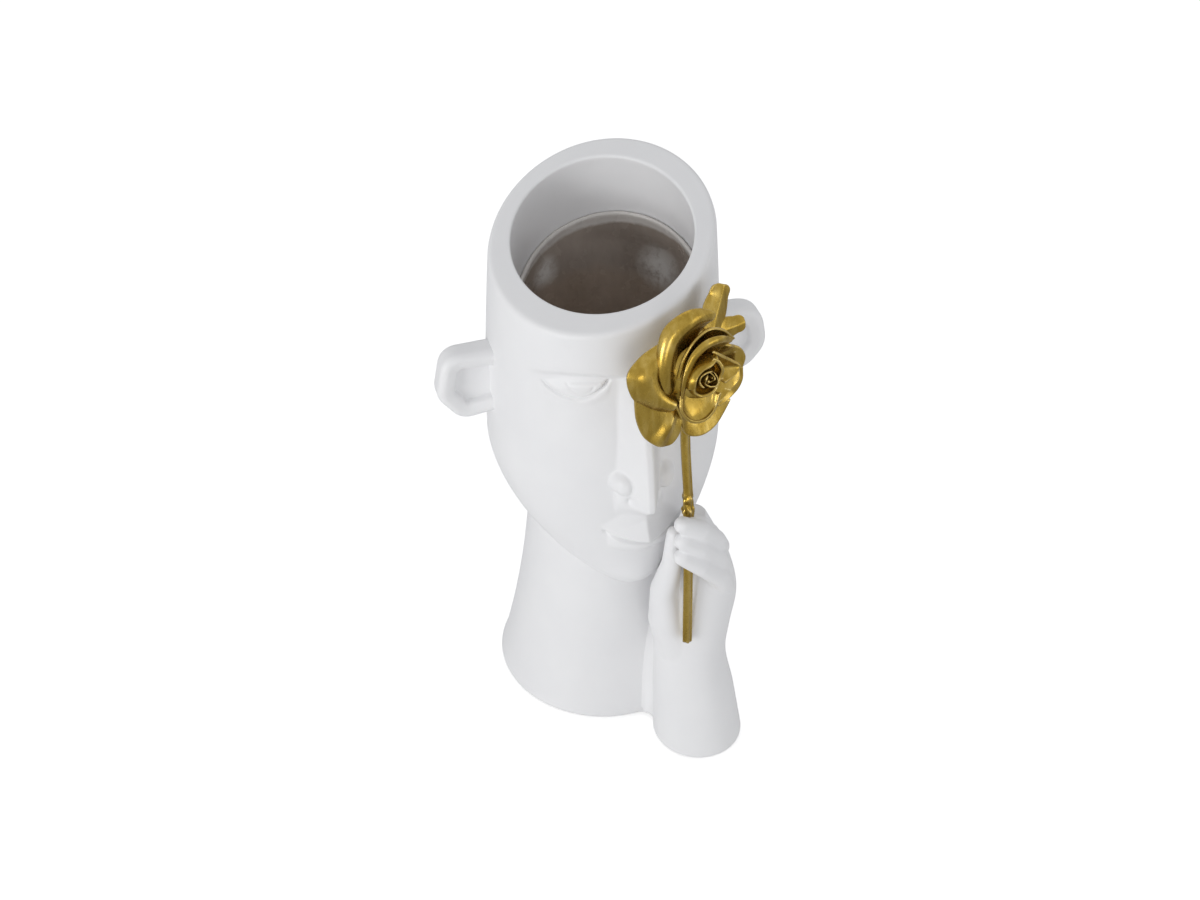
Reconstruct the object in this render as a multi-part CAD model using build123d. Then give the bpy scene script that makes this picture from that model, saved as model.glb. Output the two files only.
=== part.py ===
from build123d import *
import os
from math import cos, pi, radians, sin, sqrt, tan

# Face vase, in millimetres. +Z is up, the face looks along -Y, and the hand and the rose are on the +X side.
# The origin is on the surface that the vase stands on, under the middle of the neck.

# Base pad and closing plate
pad_thickness = 2.0
pad_inset = 4.0
plate_thickness = 5.0
plate_ledge = 4.0

# Neck
neck_base_radius = 64.0
neck_top_radius = 44.0
neck_top_height = 128.0
neck_flare = 3.0
neck_wall = 8.0
neck_foot_round = 2.5
spigot_radius = 39.0

# Head: half width, front and back of the plan, and the levels between which it changes
cheek_half_width = 66.0
cheek_height = 182.0
face_front = 68.0
head_back = 70.0
chin_height = 107.0
chin_setback = 43.0
jaw_power = 1.75
chin_power = 4.5
back_power = 2.0
rim_half_width = 60.0
rim_draw_in = 2.0
rim_height = 307.0
rim_tilt_back = 13.7
rim_tilt_side = 15.8
rim_wall = 11.0
rim_outer_round = 3.0
rim_inner_round = 1.5
upper_taper_power = 1.7

# Cavity: its axis leans by a share of the rim's tilt down to the liner's edge and comes back below it
cavity_floor_height = 186.0
cavity_floor_round = 14.0
cavity_lean = 0.5
head_floor = 16.0

# Liner
liner_wall = 2.5
liner_floor = 4.0
liner_depth = 42.0

# Middle line of the nose, mouth and chin, beside the middle of the head
face_axis = 2.5

# Nose: ridge from the brow to the tip, then back under the tip
nose_root_height = 262.0
nose_tip_height = 184.0
nose_base_drop = 9.0
nose_tip_reach = 19.0
nose_base_reach = 5.0
nose_ridge_width = 6.0
nose_root_width = 18.0
nose_tip_width = 27.0
nose_wing_radius = 6.5
nose_wing_spread = 11.0
nose_wing_rise = 8.0
nose_edge_round = 1.4

# Mouth: a tent-shaped upper lip over a full lower lip
mouth_height = 151.0
mouth_half_width = 21.0
mouth_corner_lift = 4.5
upper_lip_height = 12.0
upper_lip_reach = 7.5
lip_edge = 2.0
lower_lip_half_width = 17.0
lower_lip_height = 5.5
lower_lip_reach = 6.5
chin_bulge = 4.0
chin_bulge_radius = 17.0

# Closed eye under its brow
eye_offset = 30.0
eye_height = 249.0
eye_half_width = 17.0
eye_half_height = 12.0
lid_bulge = 3.5
lash_groove = 1.2
socket_depth = 4.0
socket_half_width = 24.0
socket_half_height = 17.0

# Ears
ear_height = 225.0
ear_reach = 96.0
ear_top = 22.0
ear_bottom = 22.0
ear_root_drop = 5.0
ear_thickness = 15.0
ear_corner_round = 13.0
ear_edge_round = 4.0
ear_border = 9.5
ear_recess = 5.0
ear_peg_radius = 4.0
ear_peg_setback = 2.5
ear_peg_length = 6.0

# Forearm and hand: centre, half width and half depth of each level of the arm
forearm_base_x = 35.0
forearm_base_y = -82.0
forearm_base_radius = 26.5
wrist_height = 72.0
wrist_x = 29.0
wrist_y = -79.0
wrist_half_width = 21.0
wrist_half_depth = 20.0
palm_height = 108.0
palm_x = 32.0
palm_y = -75.0
palm_half_width = 24.5
palm_half_depth = 20.0
back_height = 130.0
back_x = 33.5
back_y = -76.0
back_half_width = 21.0
back_half_depth = 18.5
fist_height = 151.0
fist_x = 33.0
fist_y = -78.0
fist_half_width = 15.5
fist_half_depth = 16.0
fist_top_height = 172.0
fist_top_x = 30.0
fist_top_y = -82.0
fist_top_half_width = 9.0
fist_top_half_depth = 10.0

# Fingers: joints of the middle finger, and the step from each finger to the next one below
finger_tip_place = (15.0, -99.0, 181.0)
finger_tip_step = (0.0, -0.5, -11.0)
finger_last_place = (26.0, -96.5, 172.2)
finger_last_step = (0.1, -0.8, -11.8)
finger_middle_place = (38.6, -88.5, 156.4)
finger_middle_step = (1.2, -1.0, -12.3)
finger_root_place = (46.7, -80.0, 142.4)
finger_root_step = (3.4, -1.0, -16.3)
finger_radii = (4.9, 6.0, 6.4, 5.6)
index_joints = ((20.5, -93.0, 183.0), (31.0, -89.0, 176.5), (40.0, -83.0, 161.0), (47.0, -77.0, 146.0))
thumb_joints = ((15.0, -89.0, 166.0), (11.0, -86.0, 144.0), (8.5, -83.0, 112.0))
thumb_radii = (5.0, 6.3, 7.5)

# Rose
bloom_x = 22.5
bloom_y = -80.0
bloom_z = 267.5
bloom_turn = 17.0
bloom_lift = 16.0
calyx_radius = 24.0
calyx_depth = 12.0
calyx_neck_radius = 9.0
calyx_peg_radius = 5.0
calyx_peg_length = 6.5
petal_thickness = 1.8
petal_gap = 0.5
bud_radius = 8.0
bud_height = 25.0
bud_turns = 2.6
bud_sheet = 1.5
inner_count = 3
inner_lip_radius = 15.5
inner_height = 23.0
middle_count = 5
middle_lip_radius = 27.0
middle_height = 19.0
outer_count = 6
outer_lip_radius = 38.0
outer_height = 9.0
petal_side_drop = 0.22
petal_cup = 1.5
petal_rise_power = 0.9
petal_foot_share = 0.55
petal_spread_rate = 2.5
petal_lap_rate = 4.0
inner_half_span = 78.0
inner_first_angle = 30.0
middle_half_span = 48.0
middle_first_angle = 78.0
outer_half_span = 40.0
outer_first_angle = 98.0
upper_leaf_angle = 52.0
upper_leaf_length = 47.0
lower_leaf_angle = 19.0
lower_leaf_length = 43.0
leaf_half_width = 7.5
leaf_end_half_width = 4.5

# Stem: its cut end, its place at the top of the fist and its bend below the calyx
stem_radius = 2.6
stem_foot = (20.5, -98.0, 93.0)
stem_fist = (21.5, -90.0, 186.0)
stem_neck = (20.8, -80.0, 228.0)
stem_fist_bend = 120.0
stem_neck_bend = 90.0
stem_seat_drop = 5.4
stem_seat_depth = 7.2

# Adhesive gap round every bonded peg, spigot and stem
bond_gap = 0.2


def head_extent(height):
    """Half width, front and back of the head's plan at a height."""
    if height >= cheek_height:
        rise = ((height - cheek_height) / (rim_height - cheek_height)) ** upper_taper_power
        half_width = cheek_half_width - (cheek_half_width - rim_half_width) * rise
        return half_width, rim_draw_in * rise - face_front, head_back - rim_draw_in * rise
    drop = (cheek_height - height) / (cheek_height - chin_height)
    half_width = cheek_half_width * (1 - drop**jaw_power) ** (1 / jaw_power)
    front = -chin_setback - (face_front - chin_setback) * (1 - drop**chin_power) ** (1 / chin_power)
    back = -chin_setback + (head_back + chin_setback) * (1 - drop**back_power) ** (1 / back_power)
    return half_width, front, back


def head_section(height, inset):
    """Closed plan of the head at a height, drawn in by an inset."""
    half_width, front, back = head_extent(height)
    half_depth = (back - front) / 2 - inset
    return Pos(0, (front + back) / 2, height) * Ellipse(half_width - inset, half_depth)


def face_depth(across, height):
    """Y of the head's front surface at an X and a height."""
    half_width, front, back = head_extent(height)
    share = sqrt(1 - (across / half_width) ** 2)
    return (front + back) / 2 - (back - front) / 2 * share


def ellipsoid(centre, across, along, up):
    return Pos(*centre) * scale(Sphere(1), by=(across, along, up))


def tapered_bone(start, start_radius, end, end_radius):
    """Round-ended cone between two points, as a revolved profile."""
    axis = Vector(*end) - Vector(*start)
    length = axis.length
    lean = (start_radius - end_radius) / length
    reach = sqrt(1 - lean**2)
    side_start = (start_radius * reach, start_radius * lean)
    side_end = (end_radius * reach, length + end_radius * lean)
    profile = Line((0, -start_radius), (0, length + end_radius))
    profile += ThreePointArc((0, length + end_radius), _arc_middle(end_radius, lean, 1, length), side_end)
    profile += Line(side_end, side_start)
    profile += ThreePointArc(side_start, _arc_middle(start_radius, lean, -1, 0), (0, -start_radius))
    upright = revolve(Plane.XZ * make_face(profile), Axis.Z)
    return Plane(origin=start, z_dir=axis) * upright


def _arc_middle(radius, lean, end, level):
    """Point halfway along a bone's round end, between its side and its tip."""
    x = sqrt(1 - lean**2)
    y = lean + end
    size = sqrt(x**2 + y**2)
    return (radius * x / size, level + radius * y / size)


# Bodies of the neck and head before they are fitted to each other
neck_axis_top = cavity_floor_height - head_floor


def neck_body(gap):
    """Solid neck with its spigot, grown by a gap round the part that enters the head."""
    shoulder = (neck_top_radius + gap, neck_top_height)
    waist_height = (pad_thickness + neck_top_height) / 2
    waist = ((neck_base_radius + neck_top_radius) / 2 - neck_flare + gap, waist_height)
    foot = (neck_base_radius + gap, pad_thickness)
    spigot_top = neck_axis_top + gap
    profile = Line((0, pad_thickness), foot) + ThreePointArc(foot, waist, shoulder)
    profile += Line(shoulder, (spigot_radius + gap, spigot_top))
    profile += Line((spigot_radius + gap, spigot_top), (0, spigot_top))
    profile += Line((0, spigot_top), (0, pad_thickness))
    return revolve(Plane.XZ * make_face(profile), Axis.Z)


rim_normal = Vector(-tan(radians(rim_tilt_side)), -tan(radians(rim_tilt_back)), 1)
rim_plane = Plane(origin=(0, 0, rim_height), z_dir=rim_normal)
rim_slope = tan(radians(rim_tilt_side)) * rim_half_width + tan(radians(rim_tilt_back)) * head_back
loft_top = rim_height + rim_slope


def head_loft(levels, inset):
    return loft([head_section(level, inset) for level in levels])


jaw_shares = (0.02, 0.1, 0.22, 0.38, 0.56, 0.76, 0.92)
jaw_levels = [chin_height + (cheek_height - chin_height) * share for share in jaw_shares]
upper_levels = [cheek_height + (loft_top - cheek_height) * step / 8 for step in range(1, 9)]
head_outer = head_loft(jaw_levels + upper_levels, 0)


liner_edge_height = rim_height - liner_depth


def cavity_shift(height):
    """Sideways and backward shift of the cavity's centre at a height."""
    if height >= liner_edge_height:
        depth = rim_height - height
    else:
        depth = liner_depth * (height - cavity_floor_height) / (liner_edge_height - cavity_floor_height)
    lean = cavity_lean * depth
    return lean * tan(radians(rim_tilt_side)), lean * tan(radians(rim_tilt_back))


def cavity(inset, floor_height, floor_round):
    """Open space inside the head, with a rounded floor."""
    steps = 6
    sections = []
    for step in range(steps + 1):
        height = floor_height + (loft_top - floor_height) * step / steps
        shift_x, shift_y = cavity_shift(height)
        sections.append(Pos(shift_x, shift_y, 0) * head_section(height, inset))
    space = loft(sections)
    return fillet(space.edges().group_by(Axis.Z)[0], floor_round)


# Bloom frame: Z runs out of the rose's heart, Y runs up
bloom_axis = Vector(0, -1, 0).rotate(Axis.X, -bloom_lift).rotate(Axis.Z, bloom_turn)
bloom_right = Vector(0, 0, 1).cross(bloom_axis)
bloom_plane = Plane(origin=(bloom_x, bloom_y, bloom_z), x_dir=bloom_right, z_dir=bloom_axis)


def bloom_depth():
    """Distance from the bloom's back plane to the face, along its axis."""
    near, far = 0.0, cheek_half_width
    for _ in range(40):
        middle = (near + far) / 2
        point = bloom_plane.origin - bloom_axis * middle
        if point.Y > face_depth(point.X, point.Z):
            far = middle
        else:
            near = middle
    return far


def rim_edge(shape):
    """Shortest edge of a shape that lies in the slanted plane of the rim."""
    near = 0.01
    on_rim = shape.edges().filter_by(lambda edge: abs(rim_plane.to_local_coords(edge.center()).Z) < near)
    return on_rim.sort_by(SortBy.LENGTH)[0]


def head_outside():
    """Outside of the head, cut off at the slanted rim, with its face."""
    outside = split(head_outer, bisect_by=rim_plane, keep=Keep.BOTTOM)
    outside = fillet(rim_edge(outside), rim_outer_round)
    outside -= [eye_socket(side) for side in (-1, 1)]
    return outside + [closed_eye(), nose(), mouth()] - lash_line()


def mouth_plug():
    """Space of the cavity and of everything above the rim, with the rim's inner edge rounded."""
    upward = (Align.CENTER, Align.CENTER, Align.MIN)
    above = Cylinder(2 * head_back, loft_top - chin_height, align=upward)
    plug = rim_plane * above + cavity(rim_wall, cavity_floor_height, cavity_floor_round)
    return fillet(rim_edge(plug), rim_inner_round)


def make_head():
    sockets = [ear_peg(side, bond_gap) for side in (-1, 1)]
    sockets += [neck_body(bond_gap), bloom_plane * calyx_peg(bond_gap)]
    return head_outside() - mouth_plug() - sockets


def eye_socket(side):
    centre_y = face_depth(eye_offset, eye_height) - socket_half_width / 2 + socket_depth
    hollow = ellipsoid((0, 0, 0), socket_half_width, socket_half_width / 2, socket_half_height)
    place = Pos(side * eye_offset, centre_y, eye_height - lid_bulge)
    return place * Rot(0, 0, side * eye_turn()) * hollow


def eye_turn():
    """Angle of the face's surface at the eye, seen from above."""
    inner = face_depth(eye_offset - eye_half_width, eye_height)
    outer = face_depth(eye_offset + eye_half_width, eye_height)
    slope = Vector(2 * eye_half_width, outer - inner, 0)
    return slope.get_signed_angle(Vector(1, 0, 0), Vector(0, 0, -1))


def closed_eye():
    lid = ellipsoid((0, 0, 0), eye_half_width, lid_bulge + socket_depth, eye_half_height)
    lid_y = face_depth(eye_offset, eye_height) + socket_depth + lid_bulge / 2
    return Pos(-eye_offset, lid_y, eye_height - lid_bulge) * Rot(0, 0, -eye_turn()) * lid


def lash_line():
    """Groove along the lower edge of the closed lid."""
    radius = (eye_half_width**2 + eye_half_height**2) / (2 * eye_half_height)
    ring = Rot(90, 0, 0) * Torus(radius, lash_groove)
    below = Pos(0, 0, -radius) * Box(4 * radius, 4 * radius, 2 * radius)
    arc = (Pos(0, 0, radius - eye_half_height) * ring) & below
    groove_y = face_depth(eye_offset, eye_height) + lid_bulge / 2
    return Pos(-eye_offset, groove_y, eye_height) * Rot(0, 0, -eye_turn()) * arc


def nose_section(height, reach, ridge_width, base_width):
    front = face_depth(0, height) - reach
    back = face_depth(0, height) + rim_wall / 2
    outline = Polyline(
        (-ridge_width / 2, front, height),
        (ridge_width / 2, front, height),
        (base_width / 2, back, height),
        (-base_width / 2, back, height),
        close=True,
    )
    return make_face(outline)


def nose():
    base_height = nose_tip_height - nose_base_drop
    ridge = loft(
        [
            nose_section(base_height, nose_base_reach, nose_ridge_width, nose_root_width),
            nose_section(nose_tip_height, nose_tip_reach, nose_ridge_width, nose_tip_width),
            nose_section(nose_root_height, 0, nose_ridge_width, nose_root_width),
        ],
        ruled=True,
    )
    skin = face_depth(0, cheek_height) - nose_edge_round
    rounded = ridge.edges().filter_by(lambda edge: edge.center().Y < skin)
    shape = fillet(rounded, nose_edge_round)
    wing_height = nose_tip_height + nose_wing_rise
    for side in (-1, 1):
        wing_y = face_depth(nose_wing_spread, wing_height) - nose_wing_radius / 2
        centre = (side * nose_wing_spread, wing_y, wing_height)
        shape += ellipsoid(centre, nose_wing_radius, nose_wing_radius, nose_wing_radius)
    return Pos(face_axis, 0, 0) * shape


def upper_lip_section(across):
    """Upright section of the upper lip, from the line between the lips to its upper edge."""
    share = 1 - abs(across) / mouth_half_width
    line = mouth_height + mouth_corner_lift * (1 - share)
    peak = line + upper_lip_height * share + lip_edge
    line_y = face_depth(across, line)
    peak_y = face_depth(across, peak)
    outline = Polyline(
        (across, line_y - upper_lip_reach * share - lip_edge / 2, line),
        (across, peak_y - lip_edge * share, peak),
        (across, peak_y + rim_wall / 2, peak),
        (across, line_y + rim_wall / 2, line),
        close=True,
    )
    return make_face(outline)


def mouth():
    lips = loft([upper_lip_section(side * mouth_half_width) for side in (-1, 0, 1)], ruled=True)
    lower_height = mouth_height - lower_lip_height
    lower = (0, face_depth(0, lower_height), lower_height)
    lips += ellipsoid(lower, lower_lip_half_width, lower_lip_reach, lower_lip_height)
    chin_level = chin_height + chin_bulge_radius
    chin_y = face_depth(0, chin_level) + chin_bulge_radius / 2 - chin_bulge
    chin = (0, chin_y, chin_level)
    lips += ellipsoid(chin, chin_bulge_radius, chin_bulge_radius / 2, chin_bulge_radius)
    return Pos(face_axis, 0, 0) * lips


def make_neck():
    neck = neck_body(0)
    foot_edge = neck.edges().filter_by(GeomType.CIRCLE).group_by(Axis.Z)[0].sort_by(SortBy.RADIUS)[-1]
    neck = fillet(foot_edge, neck_foot_round)
    ledge = pad_thickness + plate_thickness
    bore_foot = (neck_base_radius - neck_wall - plate_ledge, ledge)
    bore_top = neck_axis_top - neck_wall
    bore = Polyline(
        (0, ledge),
        bore_foot,
        (neck_top_radius - neck_wall, neck_top_height),
        (spigot_radius - neck_wall, bore_top),
        (0, bore_top),
        close=True,
    )
    neck -= revolve(Plane.XZ * make_face(bore), Axis.Z)
    return neck - base_plate_body(bond_gap)


def base_plate_body(gap):
    radius = neck_base_radius - neck_wall + gap
    plate = Cylinder(radius, plate_thickness, align=(Align.CENTER, Align.CENTER, Align.MIN))
    return Pos(0, 0, pad_thickness) * plate


def ear_peg(side, gap):
    """Peg from inside the ear, behind its panel, into the wall of the head."""
    length = ear_edge_round + ear_peg_length + gap
    peg = Cylinder(ear_peg_radius + gap, length, align=(Align.CENTER, Align.CENTER, Align.MAX))
    seat = head_extent(ear_height)[0] + ear_edge_round
    return Pos(side * seat, ear_peg_setback, ear_height) * Rot(0, side * 90, 0) * peg


def make_ear():
    """Ear on the +X side, trimmed to the cheek, with its peg."""
    root = cheek_half_width - rim_wall
    outline = Polyline(
        (root, -ear_bottom + ear_root_drop),
        (ear_reach - ear_corner_round, -ear_bottom),
        (ear_reach, -ear_root_drop),
        (ear_reach - ear_root_drop, ear_top),
        (root, ear_top),
        close=True,
    )
    plan = make_face(outline)
    outer = plan.vertices().filter_by(lambda corner: corner.X > root + 1)
    plan = fillet(outer, ear_corner_round)
    front = Plane(origin=(0, -ear_thickness / 2, ear_height), x_dir=(1, 0, 0), z_dir=(0, -1, 0))
    ear = extrude(front * plan, -ear_thickness)
    rims = ear.edges().filter_by(Plane.XZ).filter_by(lambda edge: edge.center().X > root + 1)
    ear = fillet(rims, ear_edge_round)
    panel = offset(plan, -ear_border)
    ear -= extrude(front * panel, -ear_recess)
    return (ear - head_outer) + ear_peg(1, 0)


def arm_section(height, x, y, half_width, half_depth):
    return Pos(x, y, height) * Ellipse(half_width, half_depth)


def make_forearm_hand():
    base = Pos(forearm_base_x, forearm_base_y, pad_thickness) * Circle(forearm_base_radius)
    wrist = arm_section(wrist_height, wrist_x, wrist_y, wrist_half_width, wrist_half_depth)
    hand = [
        wrist,
        arm_section(palm_height, palm_x, palm_y, palm_half_width, palm_half_depth),
        arm_section(back_height, back_x, back_y, back_half_width, back_half_depth),
        arm_section(fist_height, fist_x, fist_y, fist_half_width, fist_half_depth),
        arm_section(fist_top_height, fist_top_x, fist_top_y, fist_top_half_width, fist_top_half_depth),
    ]
    bones = limb(thumb_joints, thumb_radii) + limb(index_joints, finger_radii)
    for index in range(3):
        bones += limb(finger_joints(index), finger_radii)
    arm = loft([base, wrist]) + [loft(hand)] + bones
    return arm - [neck_body(0), head_outer, mouth(), stem_body(bond_gap)]


def finger_joints(index):
    """Joints of a finger from its tip to its root, counted down from the middle finger."""
    places = (finger_tip_place, finger_last_place, finger_middle_place, finger_root_place)
    steps = (finger_tip_step, finger_last_step, finger_middle_step, finger_root_step)
    return [tuple(p + s * index for p, s in zip(place, step)) for place, step in zip(places, steps)]


def limb(joints, radii):
    """Round-ended bones from joint to joint."""
    ends = list(zip(joints, radii))
    return [tapered_bone(*start, *end) for start, end in zip(ends[:-1], ends[1:])]


def stem_body(gap):
    """Stem from its cut end, through the hand, to its seat in the calyx."""
    seat = bloom_plane * Pos(0, -stem_seat_drop, -stem_seat_depth)
    bends = (stem_fist_bend, stem_neck_bend)
    path = FilletPolyline(stem_foot, stem_fist, stem_neck, seat.position, radius=bends)
    return sweep(Plane(origin=path @ 0, z_dir=path % 0) * Circle(stem_radius + gap), path)


def calyx_peg(gap):
    length = bloom_depth() + calyx_peg_length + gap
    return Cylinder(calyx_peg_radius + gap, length, align=(Align.CENTER, Align.CENTER, Align.MAX))


def calyx_body():
    """Cup behind the petals and its shank, cut off where it meets the face."""
    behind = (Align.CENTER, Align.CENTER, Align.MAX)
    cone = Cone(calyx_neck_radius, calyx_radius, calyx_depth, align=behind)
    shank = Cylinder(calyx_neck_radius, bloom_depth() + rim_wall, align=behind)
    return bloom_plane * (cone + shank) - head_outer


def make_calyx():
    return (calyx_body() + bloom_plane * calyx_peg(0)) - stem_body(bond_gap)


def make_bud():
    """Rolled sheet under a dome."""
    turns = [bud_turns * step / 40 for step in range(41)]
    pitch = (bud_radius - 1.5 * bud_sheet) / bud_turns

    def spiral(thickness):
        curve = []
        for turn in turns:
            radius = bud_sheet / 2 + pitch * turn + thickness
            curve.append((radius * cos(2 * pi * turn), radius * sin(2 * pi * turn)))
        return curve

    inside, outside = spiral(0), spiral(bud_sheet)
    band = Spline(inside) + Line(inside[-1], outside[-1]) + Spline(outside) + Line(outside[0], inside[0])
    scroll = extrude(make_face(band), bud_height)
    dome = ellipsoid((0, 0, bud_height / 2), bud_radius * 1.5, bud_radius * 1.5, bud_height / 2)
    foot = Cylinder(bud_radius * 2, bud_height / 2, align=(Align.CENTER, Align.CENTER, Align.MIN))
    return bloom_plane * (scroll & (dome + foot))


def petal(angle, pitch, half_span, base_radius, lip_radius, height):
    """One petal: a cupped sheet whose edges lie over one neighbour and under the other."""
    rows, columns = 7, 7
    lap = (petal_thickness + petal_gap) * half_span / pitch
    grid = []
    for row in range(rows):
        along = row / (rows - 1)
        line = []
        for column in range(columns):
            side = 2 * column / (columns - 1) - 1
            reach = along * (1 - petal_side_drop * side**2)
            radius = base_radius + (lip_radius - base_radius) * reach**petal_cup
            level = height * sin(pi / 2 * reach) ** petal_rise_power
            widening = (1 - petal_foot_share) * min(1, along * petal_spread_rate)
            spread = half_span * (petal_foot_share + widening)
            outward = (lip_radius - base_radius) * petal_cup * reach ** (petal_cup - 1)
            tangent = Vector(outward, height * cos(pi / 2 * reach), 0)
            step = lap * side * min(1, along * petal_lap_rate) / tangent.length
            radius += step * tangent.Y
            level -= step * tangent.X
            turn = radians(angle + side * spread)
            line.append((radius * cos(turn), radius * sin(turn), level))
        grid.append(line)
    sheet = Face.make_surface_from_array_of_points([[Vector(*p) for p in line] for line in grid])
    return bloom_plane * Solid.thicken(sheet, petal_thickness)


def petal_ring(count, first_angle, half_span, ring, lip_radius, height):
    """Ring of overlapping petals, counted outward from the bud."""
    pitch = 360 / count
    base_radius = bud_radius + 2 * ring * (petal_thickness + petal_gap)
    petals = []
    for index in range(count):
        angle = first_angle + pitch * index
        petals.append(petal(angle, pitch, half_span, base_radius, lip_radius, height))
    return Compound(children=petals)


def leaf(angle, length):
    """Blunt leaf that starts under the petals, at the calyx."""
    base = calyx_radius - leaf_half_width
    middle = (base + length) / 2
    blunt_start = length - leaf_end_half_width / 2
    half = Spline((base, 0), (middle, leaf_half_width), (blunt_start, leaf_end_half_width), (length, 0))
    plan = make_face(half + mirror(half, Plane.XZ))
    blade = Rot(0, 0, angle) * Pos(0, 0, -petal_gap) * extrude(plan, -petal_thickness)
    return bloom_plane * blade - calyx_body()


def make_liner():
    """Waterproof cup that fills the cavity up to an edge at an even depth below the rim."""
    cup = cavity(rim_wall, cavity_floor_height, cavity_floor_round)
    space_round = cavity_floor_round - liner_wall
    cup -= cavity(rim_wall + liner_wall, cavity_floor_height + liner_floor, space_round)
    return split(cup, bisect_by=rim_plane.offset(-liner_depth), keep=Keep.BOTTOM)


def make_pads():
    """Soft sheets under the neck and under the forearm."""
    outline = Circle(neck_base_radius - pad_inset)
    outline += Pos(forearm_base_x, forearm_base_y) * Circle(forearm_base_radius - pad_inset)
    return extrude(outline, pad_thickness)


os.makedirs("parts", exist_ok=True)
ear = make_ear()
inner = (inner_count, inner_first_angle, inner_half_span, 1, inner_lip_radius, inner_height)
middle = (middle_count, middle_first_angle, middle_half_span, 2, middle_lip_radius, middle_height)
outer = (outer_count, outer_first_angle, outer_half_span, 3, outer_lip_radius, outer_height)
leaves = [leaf(upper_leaf_angle, upper_leaf_length), leaf(lower_leaf_angle, lower_leaf_length)]
nodes = {
    "head_shell": make_head(),
    "neck_pedestal": make_neck(),
    "right_ear": mirror(ear, Plane.YZ),
    "left_ear": ear,
    "forearm_hand": make_forearm_hand(),
    "rose_stem": stem_body(0),
    "rose_calyx": make_calyx(),
    "rose_bud": make_bud(),
    "inner_petals": petal_ring(*inner),
    "middle_petals": petal_ring(*middle),
    "outer_petals": petal_ring(*outer),
    "rose_leaves": Compound(children=leaves),
    "cavity_liner": make_liner(),
    "base_plate": base_plate_body(0),
    "base_pads": make_pads(),
}
for name, shape in nodes.items():
    export_step(shape, f"parts/{name}.step")
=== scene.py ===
import math

import bmesh
import bpy
import numpy as np
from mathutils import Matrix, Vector, noise


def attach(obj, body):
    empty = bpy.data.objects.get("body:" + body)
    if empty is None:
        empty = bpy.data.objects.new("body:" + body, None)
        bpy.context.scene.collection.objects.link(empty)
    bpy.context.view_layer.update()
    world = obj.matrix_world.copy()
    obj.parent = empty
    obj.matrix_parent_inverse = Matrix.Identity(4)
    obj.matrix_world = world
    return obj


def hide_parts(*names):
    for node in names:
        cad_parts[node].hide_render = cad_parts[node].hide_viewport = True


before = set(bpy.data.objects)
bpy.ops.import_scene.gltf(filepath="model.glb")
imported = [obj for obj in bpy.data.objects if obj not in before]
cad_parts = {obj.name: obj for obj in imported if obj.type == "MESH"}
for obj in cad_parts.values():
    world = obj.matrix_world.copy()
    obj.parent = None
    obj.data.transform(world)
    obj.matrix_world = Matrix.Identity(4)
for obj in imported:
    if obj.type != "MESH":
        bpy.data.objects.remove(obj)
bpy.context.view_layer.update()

# Lengths are millimetres, and MM turns them into metres where a mesh is made.
# Finishes, lamps and the camera use metres.
MM = 0.001

# Head, as in the solids: levels, half widths and depths
CHEEK_HALF_WIDTH = 66.0
CHEEK_HEIGHT = 182.0
FACE_FRONT = 68.0
HEAD_BACK = 70.0
CHIN_HEIGHT = 107.0
CHIN_SETBACK = 43.0
JAW_POWER = 1.75
CHIN_POWER = 4.5
BACK_POWER = 2.0
RIM_HALF_WIDTH = 60.0
RIM_DRAW_IN = 2.0
RIM_HEIGHT = 307.0
RIM_SLOPE_BACK = math.tan(math.radians(13.7))
RIM_SLOPE_SIDE = math.tan(math.radians(15.8))
RIM_WALL = 11.0
RIM_OUTER_ROUND = 3.0
RIM_INNER_ROUND = 1.5
CAVITY_FLOOR = 186.0
CAVITY_FLOOR_ROUND = 14.0
CAVITY_LEAN = 0.5
LINER_WALL = 2.5
LINER_FLOOR = 4.0
LINER_DEPTH = 42.0
LINER_EDGE_DROP = LINER_DEPTH * math.sqrt(1 + RIM_SLOPE_BACK**2 + RIM_SLOPE_SIDE**2)

# Face: the middle lines of the eyes, the mouth and the nose lie a little to the side of the head's middle
FACE_AXIS = 2.5
MOUTH_AXIS = 3.8
NOSE_AXIS = 2.2
# Levels between which the face has its fine rows, and the level where the rows start to follow the rim
FACE_LOW = 112.6
FACE_TOP = 264.0
CROWN_LOW = 276.0
FACE_ROW = 0.6
CROWN_ROW = 1.5


def smooth_step(low, high, value):
    """0 below low, 1 above high and an S curve between."""
    share = np.clip((value - low) / (high - low), 0, 1)
    return share * share * (3 - 2 * share)


def hill(value, centre, width):
    return np.exp(-(((value - centre) / width) ** 2))


def smooth_curve(rows, places):
    """Smooth curve through the rows of a table whose first column is the place along it."""
    table = np.array(rows, dtype=float)
    knots, values = table[:, 0], table[:, 1:]
    slopes = np.gradient(values, knots, axis=0)
    index = np.clip(np.searchsorted(knots, places, side="right") - 1, 0, len(knots) - 2)
    step = (knots[index + 1] - knots[index])[:, None]
    share = (np.asarray(places) - knots[index])[:, None] / step
    from_start = (2 * share**3 - 3 * share**2 + 1) * values[index]
    start_slope = (share**3 - 2 * share**2 + share) * step * slopes[index]
    from_end = (3 * share**2 - 2 * share**3) * values[index + 1]
    end_slope = (share**3 - share**2) * step * slopes[index + 1]
    return (from_start + start_slope) + (from_end + end_slope)


def curve_through(points, count):
    """Evenly spread points on a smooth curve through a few given ones."""
    points = np.array(points, dtype=float)
    chords = np.concatenate([[0], np.cumsum(np.linalg.norm(np.diff(points, axis=0), axis=1))])
    return smooth_curve(np.column_stack([chords, points]), np.linspace(0, chords[-1], count))


def full_turn(count):
    return np.linspace(0, 2 * math.pi, count, endpoint=False)


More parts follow.
